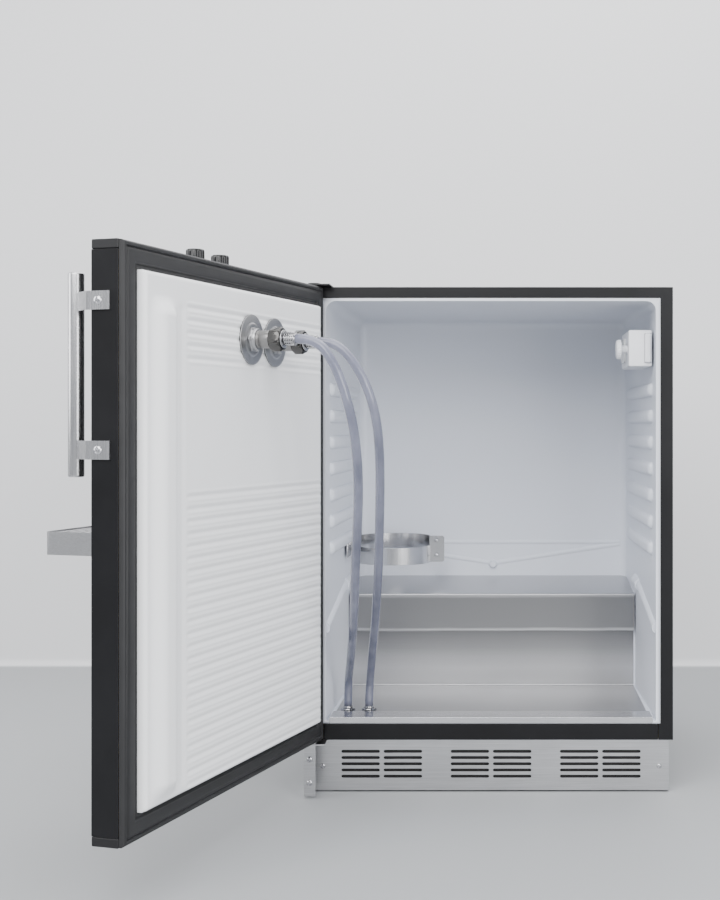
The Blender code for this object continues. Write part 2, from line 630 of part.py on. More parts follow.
def add_door_liner(door):
    pan = box((0.0238, DOOR_SIDE_IN, 0.1275), (0.5542, PLATEAU, 0.7997), 0.0018, 1)
    hollow = box((0.0258, 0, 0.1295), (0.5522, PLATEAU - 0.002, 0.7977))
    free_ridge = box((0.440, PLATEAU - 0.001, 0.132), (0.500, 0.036, 0.766), 0.005, 2)
    hinge_ridge = box((0.0285, PLATEAU - 0.001, 0.132), (0.045, 0.032, 0.794), 0.003, 2)
    heights = [0.6950 + 0.0166 * index for index in range(5)] + [0.1360 + 0.0164 * index for index in range(24)]
    grooves = [box((0.052, PLATEAU - 0.0013, height - 0.0016), (0.415, PLATEAU + 0.01, height + 0.0016))
               for height in heights]
    node("door_liner", "white_liner", door, [pan], [hollow, merged(grooves)])
    liner = bpy.data.objects["door_liner"]
    for index, shape in enumerate((free_ridge, hinge_ridge)):
        boolean(liner, place(f"door_liner.ridge{index}", mesh_from(shape, "ridge"), door), "UNION")
    bores = place("door_liner.bores", mesh_from(merged(tap_bores(0.0, 0.05)), "bores"), door)
    boolean(liner, bores, "DIFFERENCE")


def add_gasket(door):
    left, right = DOOR_HINGE_SIDE + 0.006, DOOR_FREE_SIDE - 0.001
    low, high = DOOR_LOW + 0.001, DOOR_HIGH - 0.001
    ring = box((left, DOOR_SIDE_IN + GAP, low), (right, GASKET_FACE, high), GASKET_CHAMFER, 1)
    inside = box((0.0235, 0, 0.1272), (0.5545, 0.03, 0.800))
    node("door_gasket", "gasket_rubber", door, [ring], [inside])


def add_handle(door):
    along, inward, radius = 0.567, -0.066, 0.010
    low, high = 0.5425, 0.7965
    profile = [(0, low), (radius * 0.8, low + 0.0006), (radius, low + 0.003), (radius, high - 0.003),
               (radius * 0.8, high - 0.0006), (0, high)]
    node("handle_bar", "stainless", door, [turned(profile, "Z", (along, inward), 28)], smooth=True)
    face = DOOR_FREE_SIDE + GAP
    sheet, half = 0.0025, 0.0115
    bend, grip_outer, grip_inner = -0.0355, (0.0090, 0.0064), (0.0069, 0.0078)   # grips are from the bar's axis
    outline = [(face, -0.0035), (face, bend), (along + grip_inner[0], inward + grip_inner[1]),
               (along + grip_outer[0], inward + grip_outer[1]), (face + sheet, bend - 0.001), (face + sheet, -0.0035)]
    for name, middle in (("upper", 0.7595), ("lower", 0.5765)):
        arm = prism(outline, "Z", middle - half, middle + half)
        hole = rod("X", (-0.0195, middle), 0.0030, face - 0.01, face + 0.01, 12)
        node(f"handle_bracket_{name}", "stainless", door, [arm], [hole])
        shank_end = face + sheet + GAP
        profile = [(0, shank_end + 0.0018), (0.0035, shank_end + 0.0016), (0.0055, shank_end + 0.0006),
                   (0.0055, shank_end), (0.0026, shank_end), (0.0026, face + 0.0001), (0, face)]
        node(f"handle_screw_{name}", "stainless", door, [turned(profile, "X", (-0.0195, middle), 12)], smooth=True)


def add_taps(door):
    for number, along in enumerate(TAP_PLACES, start=1):
        centre = (along, TAP_HEIGHT)
        start = PLATEAU + GAP
        plate = turned([(0.0363, start), (0.0363, start + 0.0022), (0.0350, start + 0.0032),
                        (0.0190, start + 0.0036)], "Y", centre, 36)
        nut = prism(hexagon(centre, 0.034), "Y", start + 0.002, start + 0.013)
        hole = rod("Y", centre, SHANK_RADIUS + GAP, 0, 0.06, 24)
        node(f"shank_flange_{number}", "stainless", door, [plate, nut], [hole])

        shank = turned([(SHANK_RADIUS, DOOR_OUT - 0.004), (SHANK_RADIUS, NUT_START - GAP)], "Y", centre, 24)
        node(f"tap_shank_{number}", "chrome", door, [shank], smooth=True)

        nut = prism(hexagon(centre, 0.032), "Y", NUT_START, NUT_END)
        tail = turned([(0.0125, NUT_END - 0.001), (0.0125, NUT_END + 0.003), (0.0088, NUT_END + 0.004),
                       (0.0088, TAIL_END - 0.002), (0.0070, TAIL_END)], "Y", centre, 16)
        node(f"beer_nut_{number}", "chrome", door, [nut, tail])
        add_faucet(door, number, along)


def add_faucet(door, number, along):
    centre = (along, TAP_HEIGHT)
    near = DOOR_OUT - 0.0043
    ring = turned([(0.0190, near), (0.0190, near - 0.004), (0.0165, near - 0.005), (0.0165, near - 0.018),
                   (0.0125, near - 0.020), (0.0115, near - 0.032), (0.0125, near - 0.044), (0.0110, near - 0.050),
                   (0, near - 0.051)], "Y", centre, 24)
    stem = near - 0.0305
    throat = turned([(0.0115, TAP_HEIGHT - 0.002), (0.0115, TAP_HEIGHT + 0.014), (0.0085, TAP_HEIGHT + 0.016)],
                    "Z", (along, stem), 20)
    spout = turned([(0.0088, -0.080), (0.0088, -0.050), (0.0105, -0.015), (0.0110, 0.0)], "Z", (0, 0), 20)
    spout = moved(spout, Matrix.Translation((along, near - 0.040, TAP_HEIGHT - 0.002)) @ Matrix.Rotation(
        math.radians(-14), 4, "X"))
    node(f"faucet_body_{number}", "chrome", door, [ring, throat, spout], smooth=True)

    ball = 0.0075
    pivot = TAP_HEIGHT + 0.0164 + ball
    ball_side = [(ball * math.cos(math.radians(angle)), pivot + ball * math.sin(math.radians(angle)))
                 for angle in (-60, -30, 0, 30)]
    profile = [(0, pivot - ball), *ball_side, (0.0045, pivot + 0.0062),
               (0.0045, pivot + 0.015), (0.0085, pivot + 0.017), (0.0090, pivot + 0.029), (0.0115, pivot + 0.049),
               (0.0135, pivot + 0.081), (0.0130, pivot + 0.096), (0.0090, pivot + 0.1060), (0, pivot + 0.1091)]
    handle = turned(profile, "Z", (along, stem), 24)
    node(f"tap_lever_{number}", "black_plastic", door, [handle], origin=(along, stem, pivot), smooth=True)


def add_drip_tray(door):
    sheet = 0.0012
    back = TRAY_BACK
    plate = box((0.120, DOOR_OUT - 0.0023, TRAY_LOW - 0.006), (0.420, DOOR_OUT - GAP, 0.500))
    shelf = box((0.120, DOOR_OUT - 0.060, TRAY_LOW - 0.0020), (0.420, DOOR_OUT - GAP, TRAY_LOW - GAP))
    node("tray_bracket", "stainless", door, [plate, shelf])

    tray = box((TRAY_NEAR, back - TRAY_DEPTH, TRAY_LOW), (TRAY_FAR, back, TRAY_HIGH))
    bmesh.ops.bevel(tray, geom=[e for e in tray.edges if abs(e.verts[0].co.z - e.verts[1].co.z) > 0.01],
                    offset=TRAY_CORNER, segments=3, affect="EDGES", profile=0.5)
    well = box((TRAY_NEAR + sheet, back - TRAY_DEPTH + sheet, TRAY_LOW + sheet),
               (TRAY_FAR - sheet, back - sheet, TRAY_HIGH + 0.01))
    bmesh.ops.bevel(well, geom=[e for e in well.edges if abs(e.verts[0].co.z - e.verts[1].co.z) > 0.01],
                    offset=0.007, segments=3, affect="EDGES", profile=0.5)
    node("drip_tray", "stainless", door, [tray], [well])

    inset = sheet + 0.0005
    near, far = TRAY_NEAR + inset, TRAY_FAR - inset
    front, rear = back - TRAY_DEPTH + inset, back - inset
    grid = box((near, front, TRAY_HIGH - 0.004), (far, rear, TRAY_HIGH - 0.002))
    bmesh.ops.bevel(grid, geom=[e for e in grid.edges if abs(e.verts[0].co.z - e.verts[1].co.z) > 0.001],
                    offset=0.007, segments=3, affect="EDGES", profile=0.5)
    slots = [prism(slot_outline(((near + far) / 2 + side * 0.084, front + 0.0150 + 0.0127 * row), 0.150, 0.006, 3),
                   "Z", TRAY_HIGH - 0.01, TRAY_HIGH + 0.01) for row in range(11) for side in (-1, 1)]
    grid_node = node("drip_grid", "stainless", door, [grid], [merged(slots)])
    legs = [box((x, y, TRAY_LOW + sheet + GAP), (x + 0.006, y + 0.003, TRAY_HIGH - 0.003))
            for x in (near + 0.004, far - 0.010) for y in (front + 0.004, rear - 0.007)]
    boolean(grid_node, place("drip_grid.legs", mesh_from(merged(legs), "legs"), door), "UNION")


def main():
    clear_scene()
    root = empty("cabinet_frame", SHIFT)
    door = empty("door_frame", (HINGE_X, HINGE_Y, 0), root, -OPEN_ANGLE)
    add_cabinet(root)
    add_floor_plates(root)
    add_kick_plate(root)
    add_hinges(root)
    add_feet(root)
    add_machinery(root)
    add_lamp_box(root)
    add_cylinder_holder(root)
    add_beer_lines(root)
    add_door(door)
    add_handle(door)
    add_taps(door)
    add_drip_tray(door)


main()
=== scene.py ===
"""Looks of an under-counter draught cooler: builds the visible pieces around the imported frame."""
import json
import math

import bmesh
import bpy
from mathutils import Matrix, Vector

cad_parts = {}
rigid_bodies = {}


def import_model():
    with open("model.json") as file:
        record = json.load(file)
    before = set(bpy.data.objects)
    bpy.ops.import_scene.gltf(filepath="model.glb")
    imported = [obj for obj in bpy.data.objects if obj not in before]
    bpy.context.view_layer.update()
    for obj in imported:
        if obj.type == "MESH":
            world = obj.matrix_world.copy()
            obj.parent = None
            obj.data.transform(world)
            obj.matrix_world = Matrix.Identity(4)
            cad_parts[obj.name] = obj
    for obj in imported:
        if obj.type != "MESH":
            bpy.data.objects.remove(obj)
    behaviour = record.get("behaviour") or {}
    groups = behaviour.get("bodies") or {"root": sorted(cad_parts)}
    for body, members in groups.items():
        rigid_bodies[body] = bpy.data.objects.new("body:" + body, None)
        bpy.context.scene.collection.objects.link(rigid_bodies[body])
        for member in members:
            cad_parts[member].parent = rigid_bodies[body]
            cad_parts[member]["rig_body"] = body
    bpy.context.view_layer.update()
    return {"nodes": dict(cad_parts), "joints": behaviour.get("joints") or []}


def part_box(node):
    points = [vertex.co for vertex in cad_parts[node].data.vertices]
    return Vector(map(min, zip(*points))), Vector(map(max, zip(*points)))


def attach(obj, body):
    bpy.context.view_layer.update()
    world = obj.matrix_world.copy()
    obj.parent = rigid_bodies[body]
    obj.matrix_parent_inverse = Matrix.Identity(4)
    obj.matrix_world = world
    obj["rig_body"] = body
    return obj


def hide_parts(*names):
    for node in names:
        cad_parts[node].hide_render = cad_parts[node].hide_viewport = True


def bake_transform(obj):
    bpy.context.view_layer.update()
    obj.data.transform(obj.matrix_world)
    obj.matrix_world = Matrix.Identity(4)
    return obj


bl_info = {
    "name": "Draught Cooler Finish",
    "version": (1, 0, 0),
    "blender": (4, 5, 0),
    "location": "3D View > Sidebar > Cooler",
    "description": "Builds the detailed pieces and finishes of a two-tap draught cooler",
    "category": "Object",
}

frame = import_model()

# ---- Places worked out from the frame -----------------------------------------------------
WRAP_LOW, WRAP_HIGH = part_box("outer_wrapper")
CABINET = Matrix.Translation(((WRAP_LOW[0] + WRAP_HIGH[0]) / 2, WRAP_LOW[1], 0.0))
TOP = WRAP_HIGH[2]
HINGE = next(joint for joint in frame["joints"] if joint["name"] == "door_hinge")
DOOR = Matrix.Translation((HINGE["pos_m"][0], HINGE["pos_m"][1], 0.0)) @ Matrix.Rotation(
    -math.radians(HINGE["range_deg"][1]), 4, "Z")


def local_box(node, matrix):
    """A node's box in the cabinet's or the door's own layout."""
    found = frame["nodes"][node]
    back = matrix.inverted()
    points = [back @ vert.co for vert in found.data.vertices]
    low = Vector(tuple(min(point[i] for point in points) for i in range(3)))
    high = Vector(tuple(max(point[i] for point in points) for i in range(3)))
    return low, high


def middle(low, high, axes):
    """A box's middle along the named axes."""
    return tuple((low["XYZ".index(axis)] + high["XYZ".index(axis)]) / 2 for axis in axes)


# ---- Shader expressions -------------------------------------------------------------------
class Value:
    """A socket that Python's operators can work on."""

    def __init__(self, finish, socket):
        self.finish = finish
        self.socket = socket

    def maths(self, operation, first, second=None):
        inputs = {0: first} if second is None else {0: first, 1: second}
        return self.finish.node("ShaderNodeMath", {"operation": operation}, inputs)

    def __add__(self, other):
        return self.maths("ADD", self, other)

    def __sub__(self, other):
        return self.maths("SUBTRACT", self, other)

    def __mul__(self, other):
        return self.maths("MULTIPLY", self, other)

    __radd__ = __add__
    __rmul__ = __mul__


class Finish:
    """One procedural material, written as expressions that end in its Principled shader."""

    def __init__(self, name, **constants):
        self.material = bpy.data.materials.new(name)
        self.material.use_nodes = True
        self.tree = self.material.node_tree
        self.shader = self.tree.nodes["Principled BSDF"]
        for socket, value in constants.items():
            self.set(socket, value)

    def node(self, kind, settings=None, inputs=None, output=0):
        made = self.tree.nodes.new(kind)
        for name, value in (settings or {}).items():
            if name == "stops":
                self.fill_ramp(made.color_ramp, value)
            else:
                setattr(made, name, value)
        for key, value in (inputs or {}).items():
            if isinstance(value, Value):
                self.tree.links.new(value.socket, made.inputs[key])
            elif value is not None:
                made.inputs[key].default_value = value
        return Value(self, made.outputs[output])

    @staticmethod
    def fill_ramp(ramp, stops):
        while len(ramp.elements) > 1:
            ramp.elements.remove(ramp.elements[0])
        ramp.elements[0].position, first = stops[0][0], stops[0][1]
        ramp.elements[0].color = (*first, 1.0)
        for position, colour in stops[1:]:
            ramp.elements.new(position).color = (*colour, 1.0)

    def set(self, socket, value):
        target = self.shader.inputs[socket.replace("_", " ")]
        if isinstance(value, Value):
            self.tree.links.new(value.socket, target)
        elif hasattr(value, "__len__") and len(value) == 3:
            target.default_value = (*value, 1.0)
        else:
            target.default_value = value

    def place(self, stretch=(1, 1, 1), turn=0.0):
        where = self.node("ShaderNodeTexCoord", output=3)
        return self.node("ShaderNodeMapping", inputs={0: where, 2: (0, 0, turn), 3: stretch})

    def noise(self, scale, detail=3.0, stretch=(1, 1, 1), turn=0.0, roughness=0.55):
        return self.node("ShaderNodeTexNoise", {}, {
            "Vector": self.place(stretch, turn), "Scale": scale, "Detail": detail, "Roughness": roughness})

    def blotch(self, amount, dark, light, low=0.35, high=0.65):
        return self.node("ShaderNodeValToRGB", {"stops": [(low, dark), (high, light)]}, {0: amount})

    def bump(self, height, strength, distance=0.001):
        normal = self.node("ShaderNodeBump", {},
                           {"Strength": strength, "Distance": distance, "Height": height})
        self.set("Normal", normal)


def shade(colour, factor):
    return tuple(min(1.0, channel * factor) for channel in colour)


def enamel(name, colour, roughness):
    """Sprayed enamel with a fine orange peel and faint mottling."""
    made = Finish(name, IOR=1.32, Coat_Weight=0.05, Coat_Roughness=0.25)
    made.set("Base Color", made.blotch(made.noise(9.0), shade(colour, 0.85), shade(colour, 1.2)))
    made.set("Roughness", made.noise(30.0) * 0.10 + (roughness - 0.05))
    made.bump(made.noise(900.0, 2.0), 0.06, 0.0004)
    return made.material


def moulded(name, colour, roughness, grain=1400.0, depth=0.10):
    """Moulded plastic with a fine spark-eroded grain."""
    made = Finish(name, IOR=1.47)
    made.set("Base Color", made.blotch(made.noise(14.0), shade(colour, 0.96), shade(colour, 1.04)))
    made.set("Roughness", made.noise(60.0) * 0.10 + (roughness - 0.05))
    made.bump(made.noise(grain, 2.0), depth, 0.0003)
    return made.material


def formed_liner(name, colour, shadow, span):
    """Vacuum-formed white sheet with painted shade: its colour darkens to the shadow colour towards the top
    of its span.
    """
    made = Finish(name, IOR=1.46, Coat_Weight=0.08, Coat_Roughness=0.3)
    height = made.node("ShaderNodeSeparateXYZ", {}, {0: made.node("ShaderNodeTexCoord", output=3)}, 2)
    # painted shade: the share of the shadow colour grows with height through the span, with a little random
    # variation
    share = (height - span[0]) * (1 / (span[1] - span[0])) + made.noise(3.0) * 0.12
    made.set("Base Color", made.blotch(share, colour, shadow, 0.10, 1.05))
    made.set("Roughness", made.noise(25.0) * 0.08 + 0.36)
    made.bump(made.noise(260.0, 3.0), 0.05, 0.0006)
    return made.material


def brushed(name, colour, roughness, along="X", turn=0.0, contrast=0.10, depth=0.06):
    """Stainless steel brushed along one axis: long streaks in colour, roughness and bump."""
    made = Finish(name, Metallic=1.0, Anisotropic=0.4)
    stretch = {"X": (1.0, 60.0, 60.0), "Y": (60.0, 1.0, 60.0), "Z": (60.0, 60.0, 1.0)}[along]
    streaks = made.noise(14.0, 4.0, stretch, turn, 0.7)
    clouds = made.noise(6.0)
    dark, light = shade(colour, 1 - contrast), shade(colour, 1 + contrast)
    made.set("Base Color", made.blotch(streaks * 0.7 + clouds * 0.3, dark, light, 0.38, 0.62))
    made.set("Roughness", streaks * 0.16 + (roughness - 0.08))
    made.bump(streaks, depth, 0.0003)
    return made.material


def plated(name, colour, roughness):
    """Bright plating with faint handling marks."""
    made = Finish(name, Metallic=1.0)
    made.set("Base Color", made.blotch(made.noise(25.0), shade(colour, 0.92), shade(colour, 1.05)))
    made.set("Roughness", made.noise(120.0, 4.0) * 0.10 + (roughness - 0.03))
    made.bump(made.noise(240.0), 0.02, 0.0003)
    return made.material


def zinc(name):
    """Zinc-coated sheet with its crystal spangle."""
    made = Finish(name, Metallic=0.9)
    cells = made.node("ShaderNodeTexVoronoi", {"feature": "F1"}, {"Vector": made.place(), "Scale": 55.0}, 1)
    grey = made.node("ShaderNodeRGBToBW", {}, {0: cells})
    made.set("Base Color", made.blotch(grey, (0.30, 0.31, 0.32), (0.47, 0.48, 0.49), 0.1, 0.9))
    made.set("Roughness", grey * 0.15 + 0.40)
    return made.material


def rubber(name, colour):
    made = Finish(name, IOR=1.5)
    made.set("Base Color", made.blotch(made.noise(40.0), shade(colour, 0.85), shade(colour, 1.15)))
    made.set("Roughness", made.noise(80.0) * 0.12 + 0.50)
    made.bump(made.noise(700.0), 0.12, 0.0003)
    return made.material


def vinyl(name):
    """Clear flexible tubing, faintly blue-grey, with cloudy streaks along it."""
    made = Finish(name, Roughness=0.06, IOR=1.42, Transmission_Weight=0.40, Coat_Weight=0.5,
                  Coat_Roughness=0.04)
    cloud = made.noise(28.0, 3.0, (1.0, 1.0, 0.35))
    made.set("Base Color", made.blotch(cloud, (0.17, 0.18, 0.25), (0.30, 0.31, 0.40), 0.3, 0.7))
    return made.material


def floor_steel_with_painted_shade(name, colour):
    """The floor plate: brushed across, with light and shade painted by height: a painted shadow darkening up
    the riser under the fold, a painted highlight along the fold's edge and a darker painted band on the proud
    face above.
    """
    made = Finish(name, Metallic=1.0, Anisotropic=0.4)
    streaks = made.noise(14.0, 4.0, (1.0, 60.0, 60.0), 0.0, 0.7)
    height = made.node("ShaderNodeSeparateXYZ", {}, {0: made.node("ShaderNodeTexCoord", output=3)}, 2)
    painted_shade_level = height * 5.0 - 0.58 + (made.noise(3.0) - 0.5) * 0.05 + (streaks - 0.5) * 0.03
    # painted light and shade by height: brighter just above the floor, a painted shadow darkening up the
    # riser to the fold, a painted highlight along the fold's edge, then a darker painted band on the proud
    # face up to its lighter top
    painted_shade_tones = ((0.0, 0.74), (0.04, 0.84), (0.20, 1.00), (0.30, 0.84), (0.38, 0.62), (0.535, 0.40),
             (0.545, 0.95), (0.565, 0.95), (0.58, 0.50), (0.85, 0.46), (0.872, 0.84), (1.0, 0.90))
    made.set("Base Color",
             made.node("ShaderNodeValToRGB", {"stops": [(at, shade(colour, tone)) for at, tone in painted_shade_tones]},
                                     {0: painted_shade_level}))
    made.set("Roughness", streaks * 0.14 + 0.27)
    made.bump(streaks, 0.05, 0.0003)
    return made.material


def rigid_foam(name):
    made = Finish(name, Roughness=0.95)
    made.set("Base Color", made.blotch(made.noise(120.0), (0.60, 0.50, 0.26), (0.78, 0.68, 0.40)))
    made.bump(made.noise(500.0), 0.5, 0.001)
    return made.material


# ---- Settings -----------------------------------------------------------------------------
class CoolerSizes(bpy.types.PropertyGroup):
    """Sizes that a user would change."""
    edge_round: bpy.props.FloatProperty(
        name="Pressed edge", description="Rounding of pressed sheet edges", default=0.0008, unit="LENGTH")
    liner_round: bpy.props.FloatProperty(
        name="Liner corner", description="Corner radius inside the cabinet", default=0.016, unit="LENGTH")
    groove_pitch: bpy.props.FloatProperty(
        name="Groove pitch", description="Spacing of the door liner's grooves", default=0.0164, unit="LENGTH")
    groove_depth: bpy.props.FloatProperty(
        name="Groove depth", description="Depth of the door liner's grooves", default=0.0016, unit="LENGTH")
    hose_diameter: bpy.props.FloatProperty(
        name="Beer line", description="Outside diameter of the beer lines", default=0.014, unit="LENGTH")


class CoolerColours(bpy.types.PropertyGroup):
    """Colours that a user would change."""
    enamel: bpy.props.FloatVectorProperty(
        name="Enamel", description="Cabinet and door enamel", subtype="COLOR", default=(0.006, 0.006, 0.007))
    flange: bpy.props.FloatVectorProperty(
        name="Flange", description="Cabinet front edge", subtype="COLOR", default=(0.026, 0.026, 0.029))
    liner: bpy.props.FloatVectorProperty(
        name="Liner", description="Inside of the cabinet", subtype="COLOR", default=(0.80, 0.83, 0.90))
    door_liner: bpy.props.FloatVectorProperty(
        name="Door liner", description="Inside of the door", subtype="COLOR", default=(0.96, 0.965, 0.975))
    steel: bpy.props.FloatVectorProperty(
        name="Stainless", description="Brushed stainless parts", subtype="COLOR", default=(0.56, 0.56, 0.57))


def sizes():
    return bpy.context.scene.cooler_sizes


def colours():
    return bpy.context.scene.cooler_colours


FINISHES = {}


def finish(name):
    """The cooler's own materials, made the first time they are asked for."""
    if name not in FINISHES:
        own = colours()
        steel, white = tuple(own.steel), tuple(own.liner)
        makers = {
            "enamel": lambda: enamel("black_enamel", tuple(own.enamel), 0.36),
            "flange": lambda: enamel("charcoal_flange", tuple(own.flange), 0.42),
            "cap": lambda: moulded("black_end_cap", (0.005, 0.005, 0.006), 0.50),
            "black": lambda: moulded("black_plastic", (0.010, 0.010, 0.011), 0.45),
            "gloss_black": lambda: moulded("gloss_black_plastic", (0.012, 0.012, 0.013), 0.16, 400.0, 0.02),
            "gasket": lambda: rubber("gasket_rubber", (0.012, 0.012, 0.013)),
            "washer": lambda: rubber("washer_rubber", (0.010, 0.010, 0.011)),
            # the cabinet liner's painted shade: 0.80 of the liner colour at the top of the cabinet
            "liner": lambda: formed_liner("cabinet_liner", white, shade(white, 0.80), (0.3, TOP)),
            "door_liner": lambda: formed_liner("door_liner_white", tuple(own.door_liner),
                                               tuple(own.door_liner), (0, 1)),
            "white": lambda: moulded("white_plastic", (0.80, 0.81, 0.84), 0.30),
            "lens": lambda: moulded("frosted_lens", (0.86, 0.87, 0.86), 0.22, 500.0, 0.3),
            "steel_x": lambda: brushed("brushed_steel_across", steel, 0.34, "X"),
            "steel_floor_painted_shade": lambda: floor_steel_with_painted_shade("floor_steel_painted_shade", steel),
            "satin_chrome": lambda: plated("satin_chrome", (0.25, 0.245, 0.24), 0.28),
            "slot_shade_finish": lambda: rubber("black_painted_shade_sheet", (0.004, 0.004, 0.004)),
            "steel_z": lambda: brushed("brushed_steel_upright", shade(steel, 1.05), 0.26, "Z"),
            "steel_y": lambda: brushed("brushed_steel_deep", shade(steel, 0.75), 0.32, "Y"),
            "steel_bright": lambda: brushed("bright_strip", shade(steel, 1.2), 0.24, "X"),
            "strap": lambda: brushed("polished_strap", shade(steel, 1.1), 0.20, "Z", 0.0, 0.05),
            "chrome": lambda: plated("chrome", (0.38, 0.38, 0.39), 0.10),
            "screw": lambda: plated("screw_steel", (0.60, 0.60, 0.62), 0.22),
            "dark_chrome": lambda: plated("dark_plating", (0.09, 0.088, 0.085), 0.18),
            "zinc": lambda: zinc("zinc_sheet"),
            "compressor": lambda: enamel("compressor_enamel", (0.010, 0.010, 0.011), 0.22),
            "vinyl": lambda: vinyl("clear_vinyl"),
            "foam": lambda: rigid_foam("rigid_foam"),
        }
        FINISHES[name] = makers[name]()
    return FINISHES[name]


# ---- Mesh helpers -------------------------------------------------------------------------
def add_piece(name, mesh, look, body, replaces=(), matrix=None, smooth=40.0):
    """Puts a mesh in the scene with its place in its vertices, on its body."""
    if matrix is not None:
        mesh.transform(matrix)
    if smooth:
        mesh.shade_smooth()
        mesh.set_sharp_from_angle(angle=math.radians(smooth))
    mesh.materials.clear()
    mesh.materials.append(finish(look))
    made = bpy.data.objects.new(name, mesh)
    bpy.context.scene.collection.objects.link(made)
    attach(made, body)
    if replaces:
        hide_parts(*replaces)
    return made


def to_mesh(bm, name, weld=0.00002, recalc=True):
    if weld:
        bmesh.ops.remove_doubles(bm, verts=bm.verts, dist=weld)
    if recalc:
        bmesh.ops.recalc_face_normals(bm, faces=bm.faces)
    mesh = bpy.data.meshes.new(name)
    bm.to_mesh(mesh)
    bm.free()
    return mesh


def joined(parts, name):
    whole = bmesh.new()
    for part in parts:
        mesh = to_mesh(part, name)
        whole.from_mesh(mesh)
        bpy.data.meshes.remove(mesh)
    return to_mesh(whole, name, weld=0, recalc=False)


def box(low, high, bevel=0.0, segments=3):
    bm = bmesh.new()
    bmesh.ops.create_cube(bm, size=1.0)
    for vert in bm.verts:
        vert.co = Vector(tuple(low[i] + (vert.co[i] + 0.5) * (high[i] - low[i]) for i in range(3)))
    if bevel:
        bmesh.ops.bevel(bm, geom=bm.edges, offset=bevel, segments=segments, affect="EDGES", profile=0.5)
    return bm


def circle(sides):
    return [2 * math.pi * index / sides for index in range(sides)]


def skin(bm, loops):
    """Faces between each loop of vertices and the next; a loop of one vertex is a tip."""
    for first, second in zip(loops, loops[1:]):
        sides = max(len(first), len(second))
        for index in range(sides):
            after = (index + 1) % sides
            corners = dict.fromkeys((first[index % len(first)], first[after % len(first)],
                                     second[after % len(second)], second[index % len(second)]))
            if len(corners) > 2:
                bm.faces.new(list(corners))


def turned(profile, axis, centre, sides=48):
    """A closed solid of revolution from (radius, height) pairs."""
    bm = bmesh.new()
    rings = []
    for radius, height in profile:
        ring = []
        for angle in circle(sides)[:1 if radius == 0 else sides]:
            flat = [centre[0] + radius * math.cos(angle), centre[1] + radius * math.sin(angle)]
            flat.insert("XYZ".index(axis), height)
            ring.append(bm.verts.new(flat))
        rings.append(ring)
    skin(bm, rings)
    for ring in (rings[0], rings[-1]):
        if len(ring) > 1:
            bm.faces.new(ring)
    return bm


def rounded(points, radius, steps=3):
    """A (radius, height) outline with its inner corners rounded off."""
    result = [points[0]]
    for before, corner, after in zip(points, points[1:], points[2:]):
        before, corner, after = Vector(before), Vector(corner), Vector(after)
        reach = min(radius, (before - corner).length * 0.45, (after - corner).length * 0.45)
        start = corner + (before - corner).normalized() * reach
        end = corner + (after - corner).normalized() * reach
        for step in range(steps + 1):
            t = step / steps
            result.append(tuple(start.lerp(corner, t).lerp(corner.lerp(end, t), t)))
    result.append(points[-1])
    return result


def hexagon_bar(axis, centre, flats, low, high, chamfer=0.001, turn=0.0):
    """A hex nut's outside: six flats with both ends turned to a cone."""
    radius = flats / math.sqrt(3)
    inner = flats / 2 * 0.97
    bm = bmesh.new()
    rings = []
    sides = 48
    for reach, height in ((inner, low), (None, low + chamfer), (None, high - chamfer), (inner, high)):
        ring = []
        for angle in circle(sides):
            to_flat = (angle + turn) % (math.pi / 3) - math.pi / 6
            hexagonal = flats / 2 / math.cos(to_flat)
            far = min(reach, hexagonal) if reach else min(hexagonal, radius * 0.985)
            flat = [centre[0] + far * math.cos(angle), centre[1] + far * math.sin(angle)]
            flat.insert("XYZ".index(axis), height)
            ring.append(bm.verts.new(flat))
        rings.append(ring)
    skin(bm, rings)
    bm.faces.new(rings[0])
    bm.faces.new(rings[-1])
    return bm


def copied(source):
    """A CAD node's own shape with its doubled vertices joined."""
    bm = bmesh.new()
    bm.from_mesh(source.data)
    bmesh.ops.remove_doubles(bm, verts=bm.verts, dist=0.00002)
    return bm


def folded_from_sheet(made, thickness):
    """Gives an open skin the thickness of its sheet, inwards."""
    wall = made.modifiers.new("sheet", "SOLIDIFY")
    wall.thickness = thickness
    wall.offset = -1.0


def new_verts(grown):
    return [item for item in grown if isinstance(item, bmesh.types.BMVert)]


def edged(node, look, width=None, segments=2, name=None):
    """A node's own shape with its edges pressed round; stands for the node."""
    source = frame["nodes"][node]
    bm = copied(source)
    bmesh.ops.dissolve_limit(bm, angle_limit=math.radians(0.6), verts=bm.verts, edges=bm.edges)
    mesh = to_mesh(bm, node, weld=0, recalc=False)
    body = source["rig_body"]
    made = add_piece(name or f"{node}_edged", mesh, look, body, [node], smooth=0)
    bevel = made.modifiers.new("pressed edge", "BEVEL")
    bevel.width = width or sizes().edge_round
    bevel.segments = segments
    bevel.limit_method = "ANGLE"
    bevel.angle_limit = math.radians(32)
    bevel.use_clamp_overlap = True
    mesh.shade_smooth()
    normals = made.modifiers.new("flat faces first", "WEIGHTED_NORMAL")
    normals.keep_sharp = True
    return made


def shrunk(node, look, amount):
    """A node's own shape drawn in a little, so that it stays behind the seams of its skins."""
    source = frame["nodes"][node]
    bm = copied(source)
    bm.normal_update()
    for vert in bm.verts:
        vert.co -= vert.normal * amount * vert.calc_shell_factor()
    add_piece(f"{node}_block", to_mesh(bm, node, weld=0, recalc=False), look, source["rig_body"], [node])


